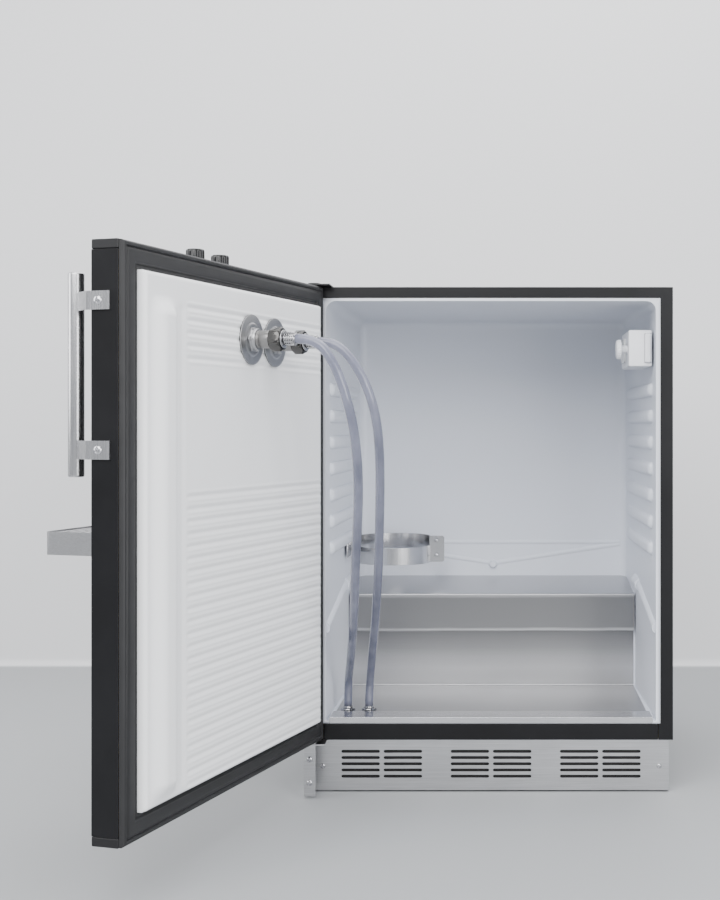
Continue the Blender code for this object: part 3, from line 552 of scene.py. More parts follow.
def smooth_path(points, spacing):
    """Evenly spaced points on a smooth curve through the given ones."""
    points = [Vector(point) for point in points]
    ends = [points[0] * 2 - points[1]] + points + [points[-1] * 2 - points[-2]]
    fine = []
    for index in range(1, len(ends) - 2):
        before, start, end, after = ends[index - 1:index + 3]
        for step in range(24):
            t = step / 24
            fine.append(0.5 * (2 * start + (end - before) * t
                               + (2 * before - 5 * start + 4 * end - after) * t ** 2
                               + (3 * start - before - 3 * end + after) * t ** 3))
    fine.append(points[-1])
    lengths = [0.0]
    for start, end in zip(fine, fine[1:]):
        lengths.append(lengths[-1] + (end - start).length)
    count = round(lengths[-1] / spacing)
    path, index = [], 0
    for step in range(count + 1):
        wanted = lengths[-1] * step / count
        while index < len(fine) - 2 and lengths[index + 1] < wanted:
            index += 1
        share = (wanted - lengths[index]) / (lengths[index + 1] - lengths[index])
        path.append(fine[index].lerp(fine[index + 1], share))
    return path, lengths[-1]


def tube(path, radius, sides=20):
    """A closed tube along a path, its rings carried along without twist."""
    bm = bmesh.new()
    tangents = []
    for index in range(len(path)):
        before, after = path[max(0, index - 1)], path[min(len(path) - 1, index + 1)]
        tangents.append((after - before).normalized())
    side = tangents[0].orthogonal().normalized()
    rings = []
    for point, tangent in zip(path, tangents):
        side = (side - tangent * side.dot(tangent)).normalized()
        other = tangent.cross(side)
        ring = []
        for angle in circle(sides):
            ring.append(bm.verts.new(point + (side * math.cos(angle) + other * math.sin(angle)) * radius))
        rings.append(ring)
    skin(bm, rings)
    bm.faces.new(rings[0])
    bm.faces.new(rings[-1])
    return bm


# ---- Geometry Nodes helpers ---------------------------------------------------------------
class NodeTree:
    """A geometry tree that repeats one mesh at points of another and gives it a material."""

    def __init__(self, name):
        self.tree = bpy.data.node_groups.new(name, "GeometryNodeTree")
        self.tree.interface.new_socket("Geometry", in_out="OUTPUT", socket_type="NodeSocketGeometry")
        self.inlet = self.tree.nodes.new("NodeGroupInput")
        self.outlet = self.tree.nodes.new("NodeGroupOutput")
        self.ids = {}

    def input(self, name, kind, default=None):
        socket = self.tree.interface.new_socket(name, in_out="INPUT", socket_type=kind)
        if default is not None:
            socket.default_value = default
        self.ids[name] = socket.identifier
        return self.inlet.outputs[name]

    def node(self, kind, settings=None, inputs=None):
        made = self.tree.nodes.new(kind)
        for name, value in (settings or {}).items():
            setattr(made, name, value)
        for key, value in (inputs or {}).items():
            if isinstance(value, bpy.types.NodeSocket):
                self.tree.links.new(value, made.inputs[key])
            else:
                made.inputs[key].default_value = value
        return made


def repeated(name, shape, points, look, body, replaces=(), matrix=None, turns=None, smooth=40.0):
    """One small mesh set at each of the points by a geometry tree, made a plain mesh."""
    source = bpy.data.objects.new(f"{name}_source", shape)
    bpy.context.scene.collection.objects.link(source)
    cloud = bpy.data.meshes.new(f"{name}_points")
    cloud.from_pydata([tuple(point) for point in points], [], [])
    turning = cloud.attributes.new("turn", "FLOAT_VECTOR", "POINT")
    for index in range(len(points)):
        turning.data[index].vector = turns[index] if turns else (0, 0, 0)
    holder = bpy.data.objects.new(f"{name}_holder", cloud)
    bpy.context.scene.collection.objects.link(holder)
    build = NodeTree(name)
    grid = build.input("Points", "NodeSocketGeometry")
    one = build.input("Piece", "NodeSocketObject")
    size = build.input("Size", "NodeSocketFloat", 1.0)
    coat = build.input("Finish", "NodeSocketMaterial")
    info = build.node("GeometryNodeObjectInfo", {"transform_space": "ORIGINAL"}, {"Object": one})
    turn = build.node("GeometryNodeInputNamedAttribute", {"data_type": "FLOAT_VECTOR"}, {"Name": "turn"})
    spread = build.node("GeometryNodeInstanceOnPoints", {}, {
        "Points": grid, "Instance": info.outputs["Geometry"], "Rotation": turn.outputs["Attribute"],
        "Scale": size})
    real = build.node("GeometryNodeRealizeInstances", {}, {"Geometry": spread.outputs["Instances"]})
    painted = build.node("GeometryNodeSetMaterial", {},
                         {"Geometry": real.outputs["Geometry"], "Material": coat})
    build.tree.links.new(painted.outputs["Geometry"], build.outlet.inputs["Geometry"])
    modifier = holder.modifiers.new(name, "NODES")
    modifier.node_group = build.tree
    modifier[build.ids["Piece"]] = source
    modifier[build.ids["Size"]] = 1.0
    modifier[build.ids["Finish"]] = finish(look)
    bpy.context.view_layer.update()
    graph = bpy.context.evaluated_depsgraph_get()
    mesh = bpy.data.meshes.new_from_object(holder.evaluated_get(graph))
    bpy.data.objects.remove(holder)
    bpy.data.objects.remove(source)
    return add_piece(name, mesh, look, body, replaces, matrix, smooth)


# ---- Beer lines ---------------------------------------------------------------------------
TAIL_GAP = 0.0003
LINE_ROUTES = (
    [(-0.2560, -0.3096, 0.7282), (-0.2435, -0.3127, 0.7228), (-0.2328, -0.3148, 0.7142),
     (-0.2205, -0.3160, 0.6950), (-0.2100, -0.3160, 0.6710), (-0.2010, -0.3120, 0.6414),
     (-0.1935, -0.3020, 0.6046), (-0.1900, -0.2860, 0.5629), (-0.1904, -0.2620, 0.5130),
     (-0.1953, -0.2300, 0.4568), (-0.2027, -0.1880, 0.3949), (-0.2092, -0.1420, 0.3380),
     (-0.2162, -0.0940, 0.2900), (-0.2238, -0.0460, 0.2555), (-0.2311, 0.0000, 0.2210),
     (-0.2393, 0.0489, 0.1863), (-0.2421, 0.0659, 0.1664)],
    [(-0.2351, -0.2378, 0.7282), (-0.2226, -0.2407, 0.7228), (-0.2119, -0.2425, 0.7142),
     (-0.1990, -0.2440, 0.6985), (-0.1855, -0.2440, 0.6748), (-0.1744, -0.2410, 0.6463),
     (-0.1672, -0.2330, 0.6141), (-0.1640, -0.2195, 0.5733), (-0.1646, -0.1980, 0.5220),
     (-0.1681, -0.1680, 0.4598), (-0.1728, -0.1320, 0.3984), (-0.1790, -0.0920, 0.3407),
     (-0.1860, -0.0480, 0.2900), (-0.1945, 0.0000, 0.2420), (-0.2045, 0.0576, 0.1785),
     (-0.2063, 0.0679, 0.1620)],
)


class COOLER_OT_beer_lines(bpy.types.Operator):
    """Run the two clear beer lines from the taps to their connectors on the floor plate"""
    bl_idname = "cooler.beer_lines"
    bl_label = "Beer lines"

    def execute(self, context):
        diameter = sizes().hose_diameter
        for number in (1, 2):
            nut_low, nut_high = local_box(f"beer_nut_{number}", DOOR)
            seat_low, seat_high = local_box(f"line_connector_{number}", CABINET)
            tap = middle(nut_low, nut_high, "XZ")
            start = DOOR @ Vector((tap[0], nut_high.y + TAIL_GAP, tap[1]))
            leave = DOOR @ Vector((tap[0], nut_high.y + 0.008, tap[1]))
            base = middle(seat_low, seat_high, "XY")
            arrive = CABINET @ Vector((*base, seat_high.z + 0.010))
            end = CABINET @ Vector((*base, seat_high.z + TAIL_GAP))
            route = [leave, *(CABINET @ Vector(point) for point in LINE_ROUTES[number - 1]), arrive]
            curve, _ = smooth_path(route, 0.006)
            path = [start, *curve, end]
            length = sum((after - before).length for before, after in zip(path, path[1:]))
            mesh = to_mesh(tube(path, diameter / 2), f"beer_line_{number}_tube", weld=0)
            line = self.add_line(number, mesh)
            connector = self.add_connector(number, base, seat_low.z, seat_high.z)
            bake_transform(line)
        return {"FINISHED"}

    @staticmethod
    def add_line(number, mesh):
        mesh.shade_smooth()
        mesh.materials.append(finish("vinyl"))
        line = bpy.data.objects.new(f"beer_line_{number}_tube", mesh)
        bpy.context.scene.collection.objects.link(line)
        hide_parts(f"beer_line_{number}")
        return line

    @staticmethod
    def add_connector(number, base, low, high):
        nut = hexagon_bar("Z", base, 0.022, low, low + 0.005, 0.0008)
        barb = turned(rounded([(0, low + 0.003), (0.0085, low + 0.003), (0.0085, low + 0.0075),
                               (0.0072, high), (0, high)], 0.0006), "Z", base)
        return add_piece(f"line_connector_{number}_turned", joined([nut, barb], "connector"), "chrome",
                         "cabinet", [f"line_connector_{number}"], CABINET)


# ---- Cabinet shell ------------------------------------------------------------------------
def cross_head(radius, height, sides=32, rings=9):
    """A domed screw head with a cross recess, standing out along -Y."""
    bm = bmesh.new()
    loops = []
    for ring in range(rings + 1):
        share = ring / rings
        loop = []
        for angle in circle(sides):
            x, z = radius * share * math.cos(angle), radius * share * math.sin(angle)
            dome = height * (1 - share ** 2.6) ** 0.6
            narrow = min(abs(x), abs(z)) < radius * 0.13
            if narrow and share < 0.58:
                dome -= height * 0.55
            loop.append(bm.verts.new((x, -dome, z)))
            if ring == 0:
                break
        loops.append(loop)
    skin(bm, loops)
    bm.faces.new(loops[-1])
    return to_mesh(bm, "cross_head")


def screws(name, places, radius, height, body, replaces=(), matrix=CABINET, turn=(0, 0, 0)):
    turns = [(turn[0], turn[1] + 0.5 * index, turn[2]) for index in range(len(places))]
    return repeated(name, cross_head(radius, height), places, "screw", body, replaces, matrix,
                    turns, 30.0)


# painted shade: a black sheet set behind the kick plate's slots, standing for the shade inside the machine
# bay behind them
SLOT_SHADE_LOW, SLOT_SHADE_HIGH = (-0.284, 0.0165, 0.010), (0.284, 0.0180, 0.083)


class COOLER_OT_cabinet_shell(bpy.types.Operator):
    """Press the wrapper, rails, kick plate, hinge brackets and feet with rounded sheet edges"""
    bl_idname = "cooler.cabinet_shell"
    bl_label = "Cabinet shell"

    def execute(self, context):
        edged("outer_wrapper", "enamel", 0.0007)
        edged("bottom_front_rail", "enamel", 0.0012)
        edged("upper_hinge_bracket", "black", 0.0010)
        for node in ("back_panel", "base_pan", "left_foot_rail", "right_foot_rail"):
            edged(node, "zinc", 0.0004)
        shrunk("insulation_foam", "foam", 0.0006)
        for node in ("front_left_foot", "rear_left_foot", "front_right_foot", "rear_right_foot"):
            self.add_foot(node)
        edged("kick_plate", "steel_x", 0.0003)
        edged("lower_hinge_bracket", "steel_x", 0.0005)
        self.add_screws()
        # painted shade: the black sheet behind the kick plate's slots
        slot_shade = box(SLOT_SHADE_LOW, SLOT_SHADE_HIGH, 0.0005, 1)
        add_piece("air_filter", to_mesh(slot_shade, "air_filter"), "slot_shade_finish", "cabinet", (),
                  CABINET)
        return {"FINISHED"}

    @staticmethod
    def add_foot(node):
        low, high = local_box(node, CABINET)
        centre = middle(low, high, "XY")
        radius = (high.x - low.x) / 2
        stem = 0.0058
        profile = [(0, 0), (radius - 0.002, 0), (radius, 0.002), (radius, 0.008), (radius * 0.74, 0.013),
                   (0.008, 0.0145)]
        thread = [(stem - 0.0006 * (step % 2), 0.0150 + 0.0009 * step) for step in range(72)]
        outline = [*rounded(profile, 0.001), *thread, (stem - 0.001, high.z), (0, high.z)]
        add_piece(f"{node}_turned", to_mesh(turned(outline, "Z", centre, 36), node), "black", node,
                  [node], CABINET)

    @staticmethod
    def add_screws():
        plate_low, plate_high = local_box("kick_plate", CABINET)
        inset = 0.016
        kick = [(plate_low.x + inset, plate_low.y, 0.043), (plate_high.x - inset, plate_low.y, 0.043)]
        screws("kick_plate_screws", kick, 0.0043, 0.0022, "cabinet")
        places = []
        for node in ("bracket_screw_upper", "bracket_screw_lower"):
            low, high = local_box(node, CABINET)
            places.append(((low.x + high.x) / 2, low.y + 0.0024, (low.z + high.z) / 2))
        screws("bracket_screws", places, 0.0050, 0.0026, "cabinet",
               ["bracket_screw_upper", "bracket_screw_lower"])


# ---- Cabinet liner ------------------------------------------------------------------------
PLATE_LOW, PLATE_HIGH = local_box("floor_plate", CABINET)
_, STRIP_HIGH = local_box("threshold_strip", CABINET)
LINER_LOW, LINER_HIGH = local_box("inner_liner", CABINET)
MOUTH_HALF = STRIP_HIGH.x + 0.0055
BACK_HALF = PLATE_HIGH.x + 0.0005
LINER_BACK = PLATE_HIGH.y + 0.001
FLOOR = PLATE_LOW.z - 0.0003
CEILING = LINER_HIGH.z - 0.0047
STEP_FRONT, STEP_LOW, STEP_HIGH = 0.300, 0.293, 0.308
LINER_THICKNESS = 0.0018
LEDGE_HEIGHTS = tuple(0.400 + 0.0445 * index for index in range(7))


def wall_half(depth):
    """Half the liner's inside width at a depth behind the front plane."""
    return MOUTH_HALF + (BACK_HALF - MOUTH_HALF) * depth / LINER_BACK


class COOLER_OT_cabinet_liner(bpy.types.Operator):
    """Form the white cabinet liner with its ledges and gutter, and lay the stainless floor"""
    bl_idname = "cooler.cabinet_liner"
    bl_label = "Cabinet liner"

    def execute(self, context):
        self.add_liner()
        self.add_ledges()
        self.add_gutter()
        self.add_floor()
        edged("threshold_strip", "steel_bright", 0.0009)
        return {"FINISHED"}

    @staticmethod
    def add_liner():
        mouth = 0.0008
        outline = [(mouth, FLOOR), (STEP_FRONT, FLOOR), (STEP_FRONT, STEP_LOW), (LINER_BACK, STEP_HIGH),
                   (LINER_BACK, CEILING), (mouth, CEILING)]
        bm = bmesh.new()
        sides = []
        for side in (-1, 1):
            sides.append([bm.verts.new((side * wall_half(y), y, z)) for y, z in outline])
        count = len(outline)
        walls = [bm.faces.new((sides[0][i], sides[0][(i + 1) % count], sides[1][(i + 1) % count],
                               sides[1][i]))
                 for i in range(count)]
        bm.faces.new(sides[0])
        bm.faces.new(sides[1])
        bmesh.ops.recalc_face_normals(bm, faces=bm.faces)
        bmesh.ops.reverse_faces(bm, faces=bm.faces)
        kept = [edge for edge in bm.edges if min(vert.co.z for vert in edge.verts) > STEP_LOW + 0.001
                and max(vert.co.y for vert in edge.verts) > STEP_FRONT
                and max(vert.co.z for vert in edge.verts) > STEP_HIGH + 0.001]
        kept += [edge for edge in walls[-1].edges if abs(edge.verts[0].co.z - edge.verts[1].co.z) < 0.01
                 and edge.verts[0].co.z > STEP_HIGH]
        bmesh.ops.delete(bm, geom=[walls[-1]], context="FACES_ONLY")
        bmesh.ops.bevel(bm, geom=[edge for edge in kept if edge.is_valid and len(edge.link_faces) == 2],
                        offset=sizes().liner_round, segments=6, affect="EDGES", profile=0.5,
                        clamp_overlap=True)
        rim = [edge for edge in bm.edges if edge.is_boundary]
        grown = bmesh.ops.extrude_edge_only(bm, edges=rim)["geom"]
        for vert in new_verts(grown):
            vert.co.x = math.copysign(LINER_HIGH.x,
                                      vert.co.x) if abs(vert.co.x) > wall_half(0) - 0.020 else vert.co.x
            if vert.co.z > CEILING - 0.020:
                vert.co.z = LINER_HIGH.z
            elif vert.co.z < FLOOR + 0.020:
                vert.co.z = LINER_LOW.z
            vert.co.y = LINER_LOW.y
        mesh = to_mesh(bm, "cabinet_liner_formed", weld=0, recalc=False)
        made = add_piece("cabinet_liner_formed", mesh, "liner", "cabinet", ["inner_liner"],
                         CABINET, 50.0)
        folded_from_sheet(made, LINER_THICKNESS)

    @staticmethod
    def add_floor():
        low, high = local_box("floor_plate", CABINET)
        sheet, proud, fold = 0.001, 0.284, 0.2255
        rise = STEP_FRONT - 0.0003
        crest = STEP_LOW + 0.0003 + sheet
        outline = rounded([(low.y, low.z + sheet), (rise - sheet, low.z + sheet), (rise - sheet, fold),
                           (proud, fold), (proud, crest), (high.y, high.z)], 0.0022, 5)
        bm = bmesh.new()
        left, right = ([bm.verts.new((x, y, z)) for y, z in outline] for x in (low.x, high.x))
        for index in range(len(outline) - 1):
            bm.faces.new((left[index], right[index], right[index + 1], left[index + 1]))
        made = add_piece("floor_plate_folded", to_mesh(bm, "floor_plate", weld=0, recalc=False),
                         "steel_floor_painted_shade", "cabinet", ["floor_plate"], CABINET, 40.0)
        folded_from_sheet(made, sheet)
        normals = made.modifiers.new("flat faces first", "WEIGHTED_NORMAL")
        normals.keep_sharp = True

    @staticmethod
    def add_ledges():
        length, thick, proud = 0.330, 0.0230, 0.0200
        ledge = to_mesh(box((-proud / 2, -length / 2, -thick / 2), (proud / 2, length / 2, thick / 2),
                            0.0085, 5), "ledge")
        places, turns = [], []
        lean = math.atan((MOUTH_HALF - BACK_HALF) / LINER_BACK)
        for side in (-1, 1):
            for height in LEDGE_HEIGHTS:
                places.append((side * (wall_half(0.21) + 0.0020), 0.21, height))
                turns.append((0, 0, side * lean))
        repeated("shelf_ledges", ledge, places, "liner", "cabinet", (), CABINET, turns)

    @staticmethod
    def add_gutter():
        back = LINER_BACK + 0.0038
        low, high, half = 0.334, 0.372, BACK_HALF - 0.012
        runs = [[(-half, back, high), (-half / 2, back, (low + high) / 2), (0, back, low)],
                [(0, back, low), (half / 2, back, (low + high) / 2), (half, back, high)],
                [(-half, back, high + 0.004), (0, back, high + 0.004), (half, back, high + 0.004)]]
        parts = [tube([Vector(point) for point in run], 0.0060, 20) for run in runs]
        parts.append(turned(rounded([(0, back - 0.014), (0.0065, back - 0.014), (0.0085, back), (0, back)],
                                    0.003, 5),
                            "Y", (0, low - 0.002)))
        for side in (-1, 1):
            start = Vector((side * (wall_half(0.01) + 0.0060), 0.012, 0.272))
            end = Vector((side * (wall_half(0.24) + 0.0060), 0.240, 0.316))
            parts.append(tube([start, start.lerp(end, 0.5), end], 0.0115, 24))
            knob = Vector((side * (wall_half(0.29) + 0.005), 0.290, 0.319))
            parts.append(tube([end, end.lerp(knob, 0.5), knob], 0.0135, 24))
        add_piece("drain_gutter", joined(parts, "drain_gutter"), "liner", "cabinet", (),
                  CABINET)


# ---- Lamp box and thermostat --------------------------------------------------------------
class COOLER_OT_lamp_box(bpy.types.Operator):
    """Mould the lamp and thermostat box with its lens, switch and dial"""
    bl_idname = "cooler.lamp_box"
    bl_label = "Lamp box"

    def execute(self, context):
        edged("lamp_housing", "white", 0.0012, 3)
        edged("lamp_lens", "lens", 0.0010, 3)
        edged("light_switch", "white", 0.0008, 3)
        low, high = local_box("thermostat_knob", CABINET)
        centre = Vector(((high.x), (low.y + high.y) / 2, (low.z + high.z) / 2))
        radius = (high.y - low.y) / 2
        sides, bm = 96, bmesh.new()
        rings = []
        outline = [(0.0, low.x), (0.78, low.x), (0.90, low.x + 0.0006), (0.97, low.x + 0.0024),
                   (1.0, low.x + 0.0050),
                   (1.0, low.x + 0.0078), (0.80, low.x + 0.0084), (0.42, low.x + 0.0086), (0.42, high.x),
                   (0.0, high.x)]
        for share, depth in outline:
            ring = []
            for angle in circle(sides):
                flute = 1 - 0.045 * (0.5 + 0.5 * math.cos(24 * angle)) if share > 0.85 else 1
                reach = radius * share * flute
                ring.append(bm.verts.new((depth, centre.y + reach * math.cos(angle),
                                          centre.z + reach * math.sin(angle))))
                if share == 0:
                    break
            rings.append(ring)
        skin(bm, rings)
        grip = box((low.x - 0.0004, centre.y - 0.0018, centre.z - radius * 0.7),
                   (low.x + 0.001, centre.y + 0.0018, centre.z + radius * 0.7), 0.0006, 2)
        mesh = joined([bm, grip], "thermostat_dial")
        add_piece("thermostat_dial", mesh, "white", "thermostat_knob", ["thermostat_knob"],
                  CABINET)
        return {"FINISHED"}


# ---- Gas cylinder strap -------------------------------------------------------------------
STRAP_SHEET = 0.002
STRAP_HALF_GAP = 0.0003               # between the joint's middle and each half
REAR_RING_LOW, FRONT_RING_HIGH = 0.367, 0.377
FLANGE_ROUND = 0.005
TAB_REACH = 0.012                     # how far the wall tab runs past the joint
TAB_ROOT = (0.001, 0.011, 0.0015)     # the root's near end, far end and thickness past the tab


class COOLER_OT_gas_strap(bpy.types.Operator):
    """Bend the two halves of the gas cylinder strap and fit their screws"""
    bl_idname = "cooler.gas_strap"
    bl_label = "Gas cylinder strap"

    def execute(self, context):
        low, high = local_box("co2_rear_strap", CABINET)
        front_low, front_high = local_box("co2_front_strap", CABINET)
        middle_y = front_high.y + STRAP_HALF_GAP
        radius = middle_y - front_low.y
        centre = (front_low.x + radius, middle_y)
        flange_end, sheet = high.x, STRAP_SHEET
        self.bend("co2_rear_strap", centre, radius, sheet, (0.4, 179.6), (REAR_RING_LOW, high.z), flange_end,
                  (front_low.z, high.z), 1, (low.x, low.y))
        self.bend("co2_front_strap", centre, radius, sheet, (359.6, 180.4), (front_low.z, FRONT_RING_HIGH),
                  flange_end, (front_low.z, high.z), -1, None)
        places = []
        for node in ("co2_screw_upper", "co2_screw_lower"):
            screw_low, screw_high = local_box(node, CABINET)
            places.append(((screw_low.x + screw_high.x) / 2, screw_low.y + 0.0021,
                           (screw_low.z + screw_high.z) / 2))
        screws("co2_screws", places, 0.0042, 0.0021, "cabinet", ["co2_screw_upper", "co2_screw_lower"])
        return {"FINISHED"}

    @staticmethod
    def bend(node, centre, radius, sheet, span, height, flange_end, flange, side, tab):
        bm = bmesh.new()
        steps = 64
        loops = []
        for step in range(steps + 1):
            angle = math.radians(span[0] + (span[1] - span[0]) * step / steps)
            out = Vector((math.cos(angle), math.sin(angle), 0))
            point = Vector((*centre, 0))
            rings = [point + out * reach + Vector((0, 0, z)) for reach, z in (
                (radius, height[0]), (radius, height[1]), (radius - sheet, height[1]),
                (radius - sheet, height[0]))]
            loops.append([bm.verts.new(corner) for corner in rings])
        skin(bm, loops)
        bm.faces.new(loops[0])
        bm.faces.new(loops[-1])
        near = centre[1] + side * STRAP_HALF_GAP
        y_low, y_high = sorted((near, near + side * sheet))
        plate = box((centre[0] + radius - sheet, y_low, flange[0]), (flange_end, y_high, flange[1]))
        corners = [edge for edge in plate.edges if abs(edge.verts[0].co.y - edge.verts[1].co.y) > sheet / 2
                   and edge.verts[0].co.x > flange_end - 0.001]
        bmesh.ops.bevel(plate, geom=corners, offset=FLANGE_ROUND, segments=5, affect="EDGES", profile=0.5)
        parts = [bm, plate]
        if tab is not None:
            x, y = tab
            root_near, root_far, root_thick = TAB_ROOT
            parts.append(box((x, y, height[0]), (x + sheet, centre[1] + TAB_REACH, height[1]), 0.0006, 2))
            parts.append(box((x + sheet / 2, centre[1] + root_near, height[0]),
                             (x + sheet + root_thick, centre[1] + root_far, height[1])))
        made = add_piece(f"{node}_bent", joined(parts, node), "strap", "cabinet", [node],
                         CABINET, 30.0)
        bevel = made.modifiers.new("edges", "BEVEL")
        bevel.width, bevel.segments, bevel.limit_method = 0.0003, 2, "ANGLE"
        bevel.angle_limit = math.radians(50)


# ---- Machine bay --------------------------------------------------------------------------
class COOLER_OT_machinery(bpy.types.Operator):
    """Finish the compressor, condenser, fan and evaporation tray"""
    bl_idname = "cooler.machinery"
    bl_label = "Machine bay"

    def execute(self, context):
        self.add_compressor()
        edged("evaporation_tray", "black", 0.0008)
        edged("fan_shroud", "black", 0.0008)
        edged("fan_rotor", "black", 0.0005)
        self.add_condenser()
        return {"FINISHED"}

    @staticmethod
    def add_compressor():
        low, high = local_box("compressor", CABINET)
        centre = middle(low, high, "XY")
        profile = [(0, 0.096), (0.052, 0.098), (0.070, 0.108), (0.075, 0.125), (0.075, 0.158), (0.078, 0.160),
                   (0.078, 0.166), (0.074, 0.168), (0.072, 0.200), (0.060, 0.222), (0.035, 0.232),
                   (0, high.z)]
        shell = turned(rounded(profile, 0.010, 5), "Z", centre, 72)
        plate = box((low.x, low.y, low.z), (high.x, high.y, 0.100), 0.002, 2)
        terminal = box((centre[0] - 0.024, centre[1] - 0.0770, 0.125),
                       (centre[0] + 0.024, centre[1] - 0.060, 0.158), 0.003)
        bushes = []
        for x in (low.x + 0.012, high.x - 0.012):
            for y in (low.y + 0.012, high.y - 0.012):
                bushes.append(turned(rounded([(0, 0.099), (0.009, 0.099), (0.009, 0.106), (0.004, 0.108),
                                              (0.004, 0.112), (0, 0.112)], 0.001), "Z", (x, y), 24))
        add_piece("compressor_shell", joined([shell, plate, terminal, *bushes], "compressor"), "compressor",
                  "cabinet", ["compressor"], CABINET)

    @staticmethod
    def add_condenser():
        low, high = local_box("condenser", CABINET)
        end = 0.003
        plates = [box((low.x, low.y, low.z), (low.x + end, high.y, high.z), 0.0005, 1),
                  box((high.x - end, low.y, low.z), (high.x, high.y, high.z), 0.0005, 1)]
        tubes = []
        for row in range(6):
            height = low.z + 0.016 + row * (high.z - low.z - 0.030) / 5
            for depth in (low.y + 0.008, high.y - 0.008):
                tubes.append(tube([Vector((low.x + 0.001, depth, height)),
                                   Vector((high.x - 0.001, depth, height))], 0.004, 14))
        add_piece("condenser_core", joined([*plates, *tubes], "condenser_core"), "zinc", "cabinet",
                  ["condenser"], CABINET)
        fin = to_mesh(box((-0.0003, low.y + 0.0005, low.z + 0.001),
                          (0.0003, high.y - 0.0005, high.z - 0.001)), "fin")
        count = 54
        gap = (high.x - low.x - 2 * end) / (count + 1)
        places = [(low.x + end + gap * (index + 1), 0, 0) for index in range(count)]
        repeated("condenser_fins", fin, places, "zinc", "cabinet", (), CABINET)


# ---- Door ---------------------------------------------------------------------------------
DOOR_LINER_LOW, DOOR_LINER_HIGH = local_box("door_liner", DOOR)
PLATEAU = 0.024
PLATEAU_ROUND = 0.0055
LINER_RIDGES = (                      # rise, then start, end and edge across the door and up it
    (0.0118, (0.476, 0.546, 0.027), (0.130, 0.772, 0.027)),
    (-0.0014, (0.456, 0.474, 0.008), (0.136, 0.768, 0.012)),
    (0.0030, (0.0060, 0.0210, 0.006), (0.134, 0.794, 0.010)),
)


def ease(value):
    value = min(1.0, max(0.0, value))
    return value * value * (3 - 2 * value)


def hump(value, start, end, edge):
    """1 between start and end, falling smoothly to 0 over an edge's width on each side."""
    return ease((value - start) / edge) * ease((end - value) / edge)


class COOLER_OT_door_shell(bpy.types.Operator):
    """Press the door's outer panel and mould its end caps"""
    bl_idname = "cooler.door_shell"
    bl_label = "Door shell"

    def execute(self, context):
        edged("door_outer_panel", "enamel", 0.0010, 3)
        edged("door_top_cap", "cap", 0.0012, 3)
        edged("door_bottom_cap", "cap", 0.0012, 3)
        shrunk("door_foam", "foam", 0.0014)
        return {"FINISHED"}


class COOLER_OT_door_liner(bpy.types.Operator):
    """Form the door's white liner: raised field, two upright ridges and level grooves"""
    bl_idname = "cooler.door_liner"
    bl_label = "Door liner"

    def execute(self, context):
        low, high = DOOR_LINER_LOW, DOOR_LINER_HIGH
        across, up = 168, 430
        bm = bmesh.new()
        rows = []
        for row in range(up + 1):
            z = low.z + (high.z - low.z) * row / up
            line = []
            for column in range(across + 1):
                x = low.x + (high.x - low.x) * column / across
                line.append(bm.verts.new((x, self.relief(x, z, low, high), z)))
            rows.append(line)
        for first, second in zip(rows, rows[1:]):
            for column in range(across):
                bm.faces.new((first[column], first[column + 1], second[column + 1], second[column]))
        rim = [edge for edge in bm.edges if edge.is_boundary]
        skirt = bmesh.ops.extrude_edge_only(bm, edges=rim)["geom"]
        for vert in new_verts(skirt):
            vert.co.y = low.y
        bmesh.ops.holes_fill(bm, edges=[edge for edge in bm.edges if edge.is_boundary])
        mesh = to_mesh(bm, "door_liner_formed", weld=0)
        add_piece("door_liner_formed", mesh, "door_liner", "door", ["door_liner"], DOOR, 60.0)
        return {"FINISHED"}

    @staticmethod
    def relief(x, z, low, high):
        fillet = PLATEAU_ROUND
        inset = min(x - low.x, high.x - x, z - low.z, high.z - z)
        height = PLATEAU
        if inset < fillet:
            height -= fillet - math.sqrt(fillet ** 2 - (fillet - inset) ** 2)
        for rise, across, up in LINER_RIDGES:
            height += rise * hump(x, *across) * hump(z, *up)
        if 0.022 < x < 0.460:
            settings = sizes()
            reach = hump(x, 0.024, 0.456, 0.010)
            for start, count, pitch in ((0.136, 24, settings.groove_pitch), (0.695, 5, 0.0166)):
                nearest = round((z - start) / pitch)
                if 0 <= nearest < count:
                    away = abs(z - start - nearest * pitch)
                    height -= settings.groove_depth * reach * ease(1 - away / 0.0036)
                    height += settings.groove_depth * 0.45 * reach * ease(1 - abs(away - 0.0058) / 0.0024)
        return height


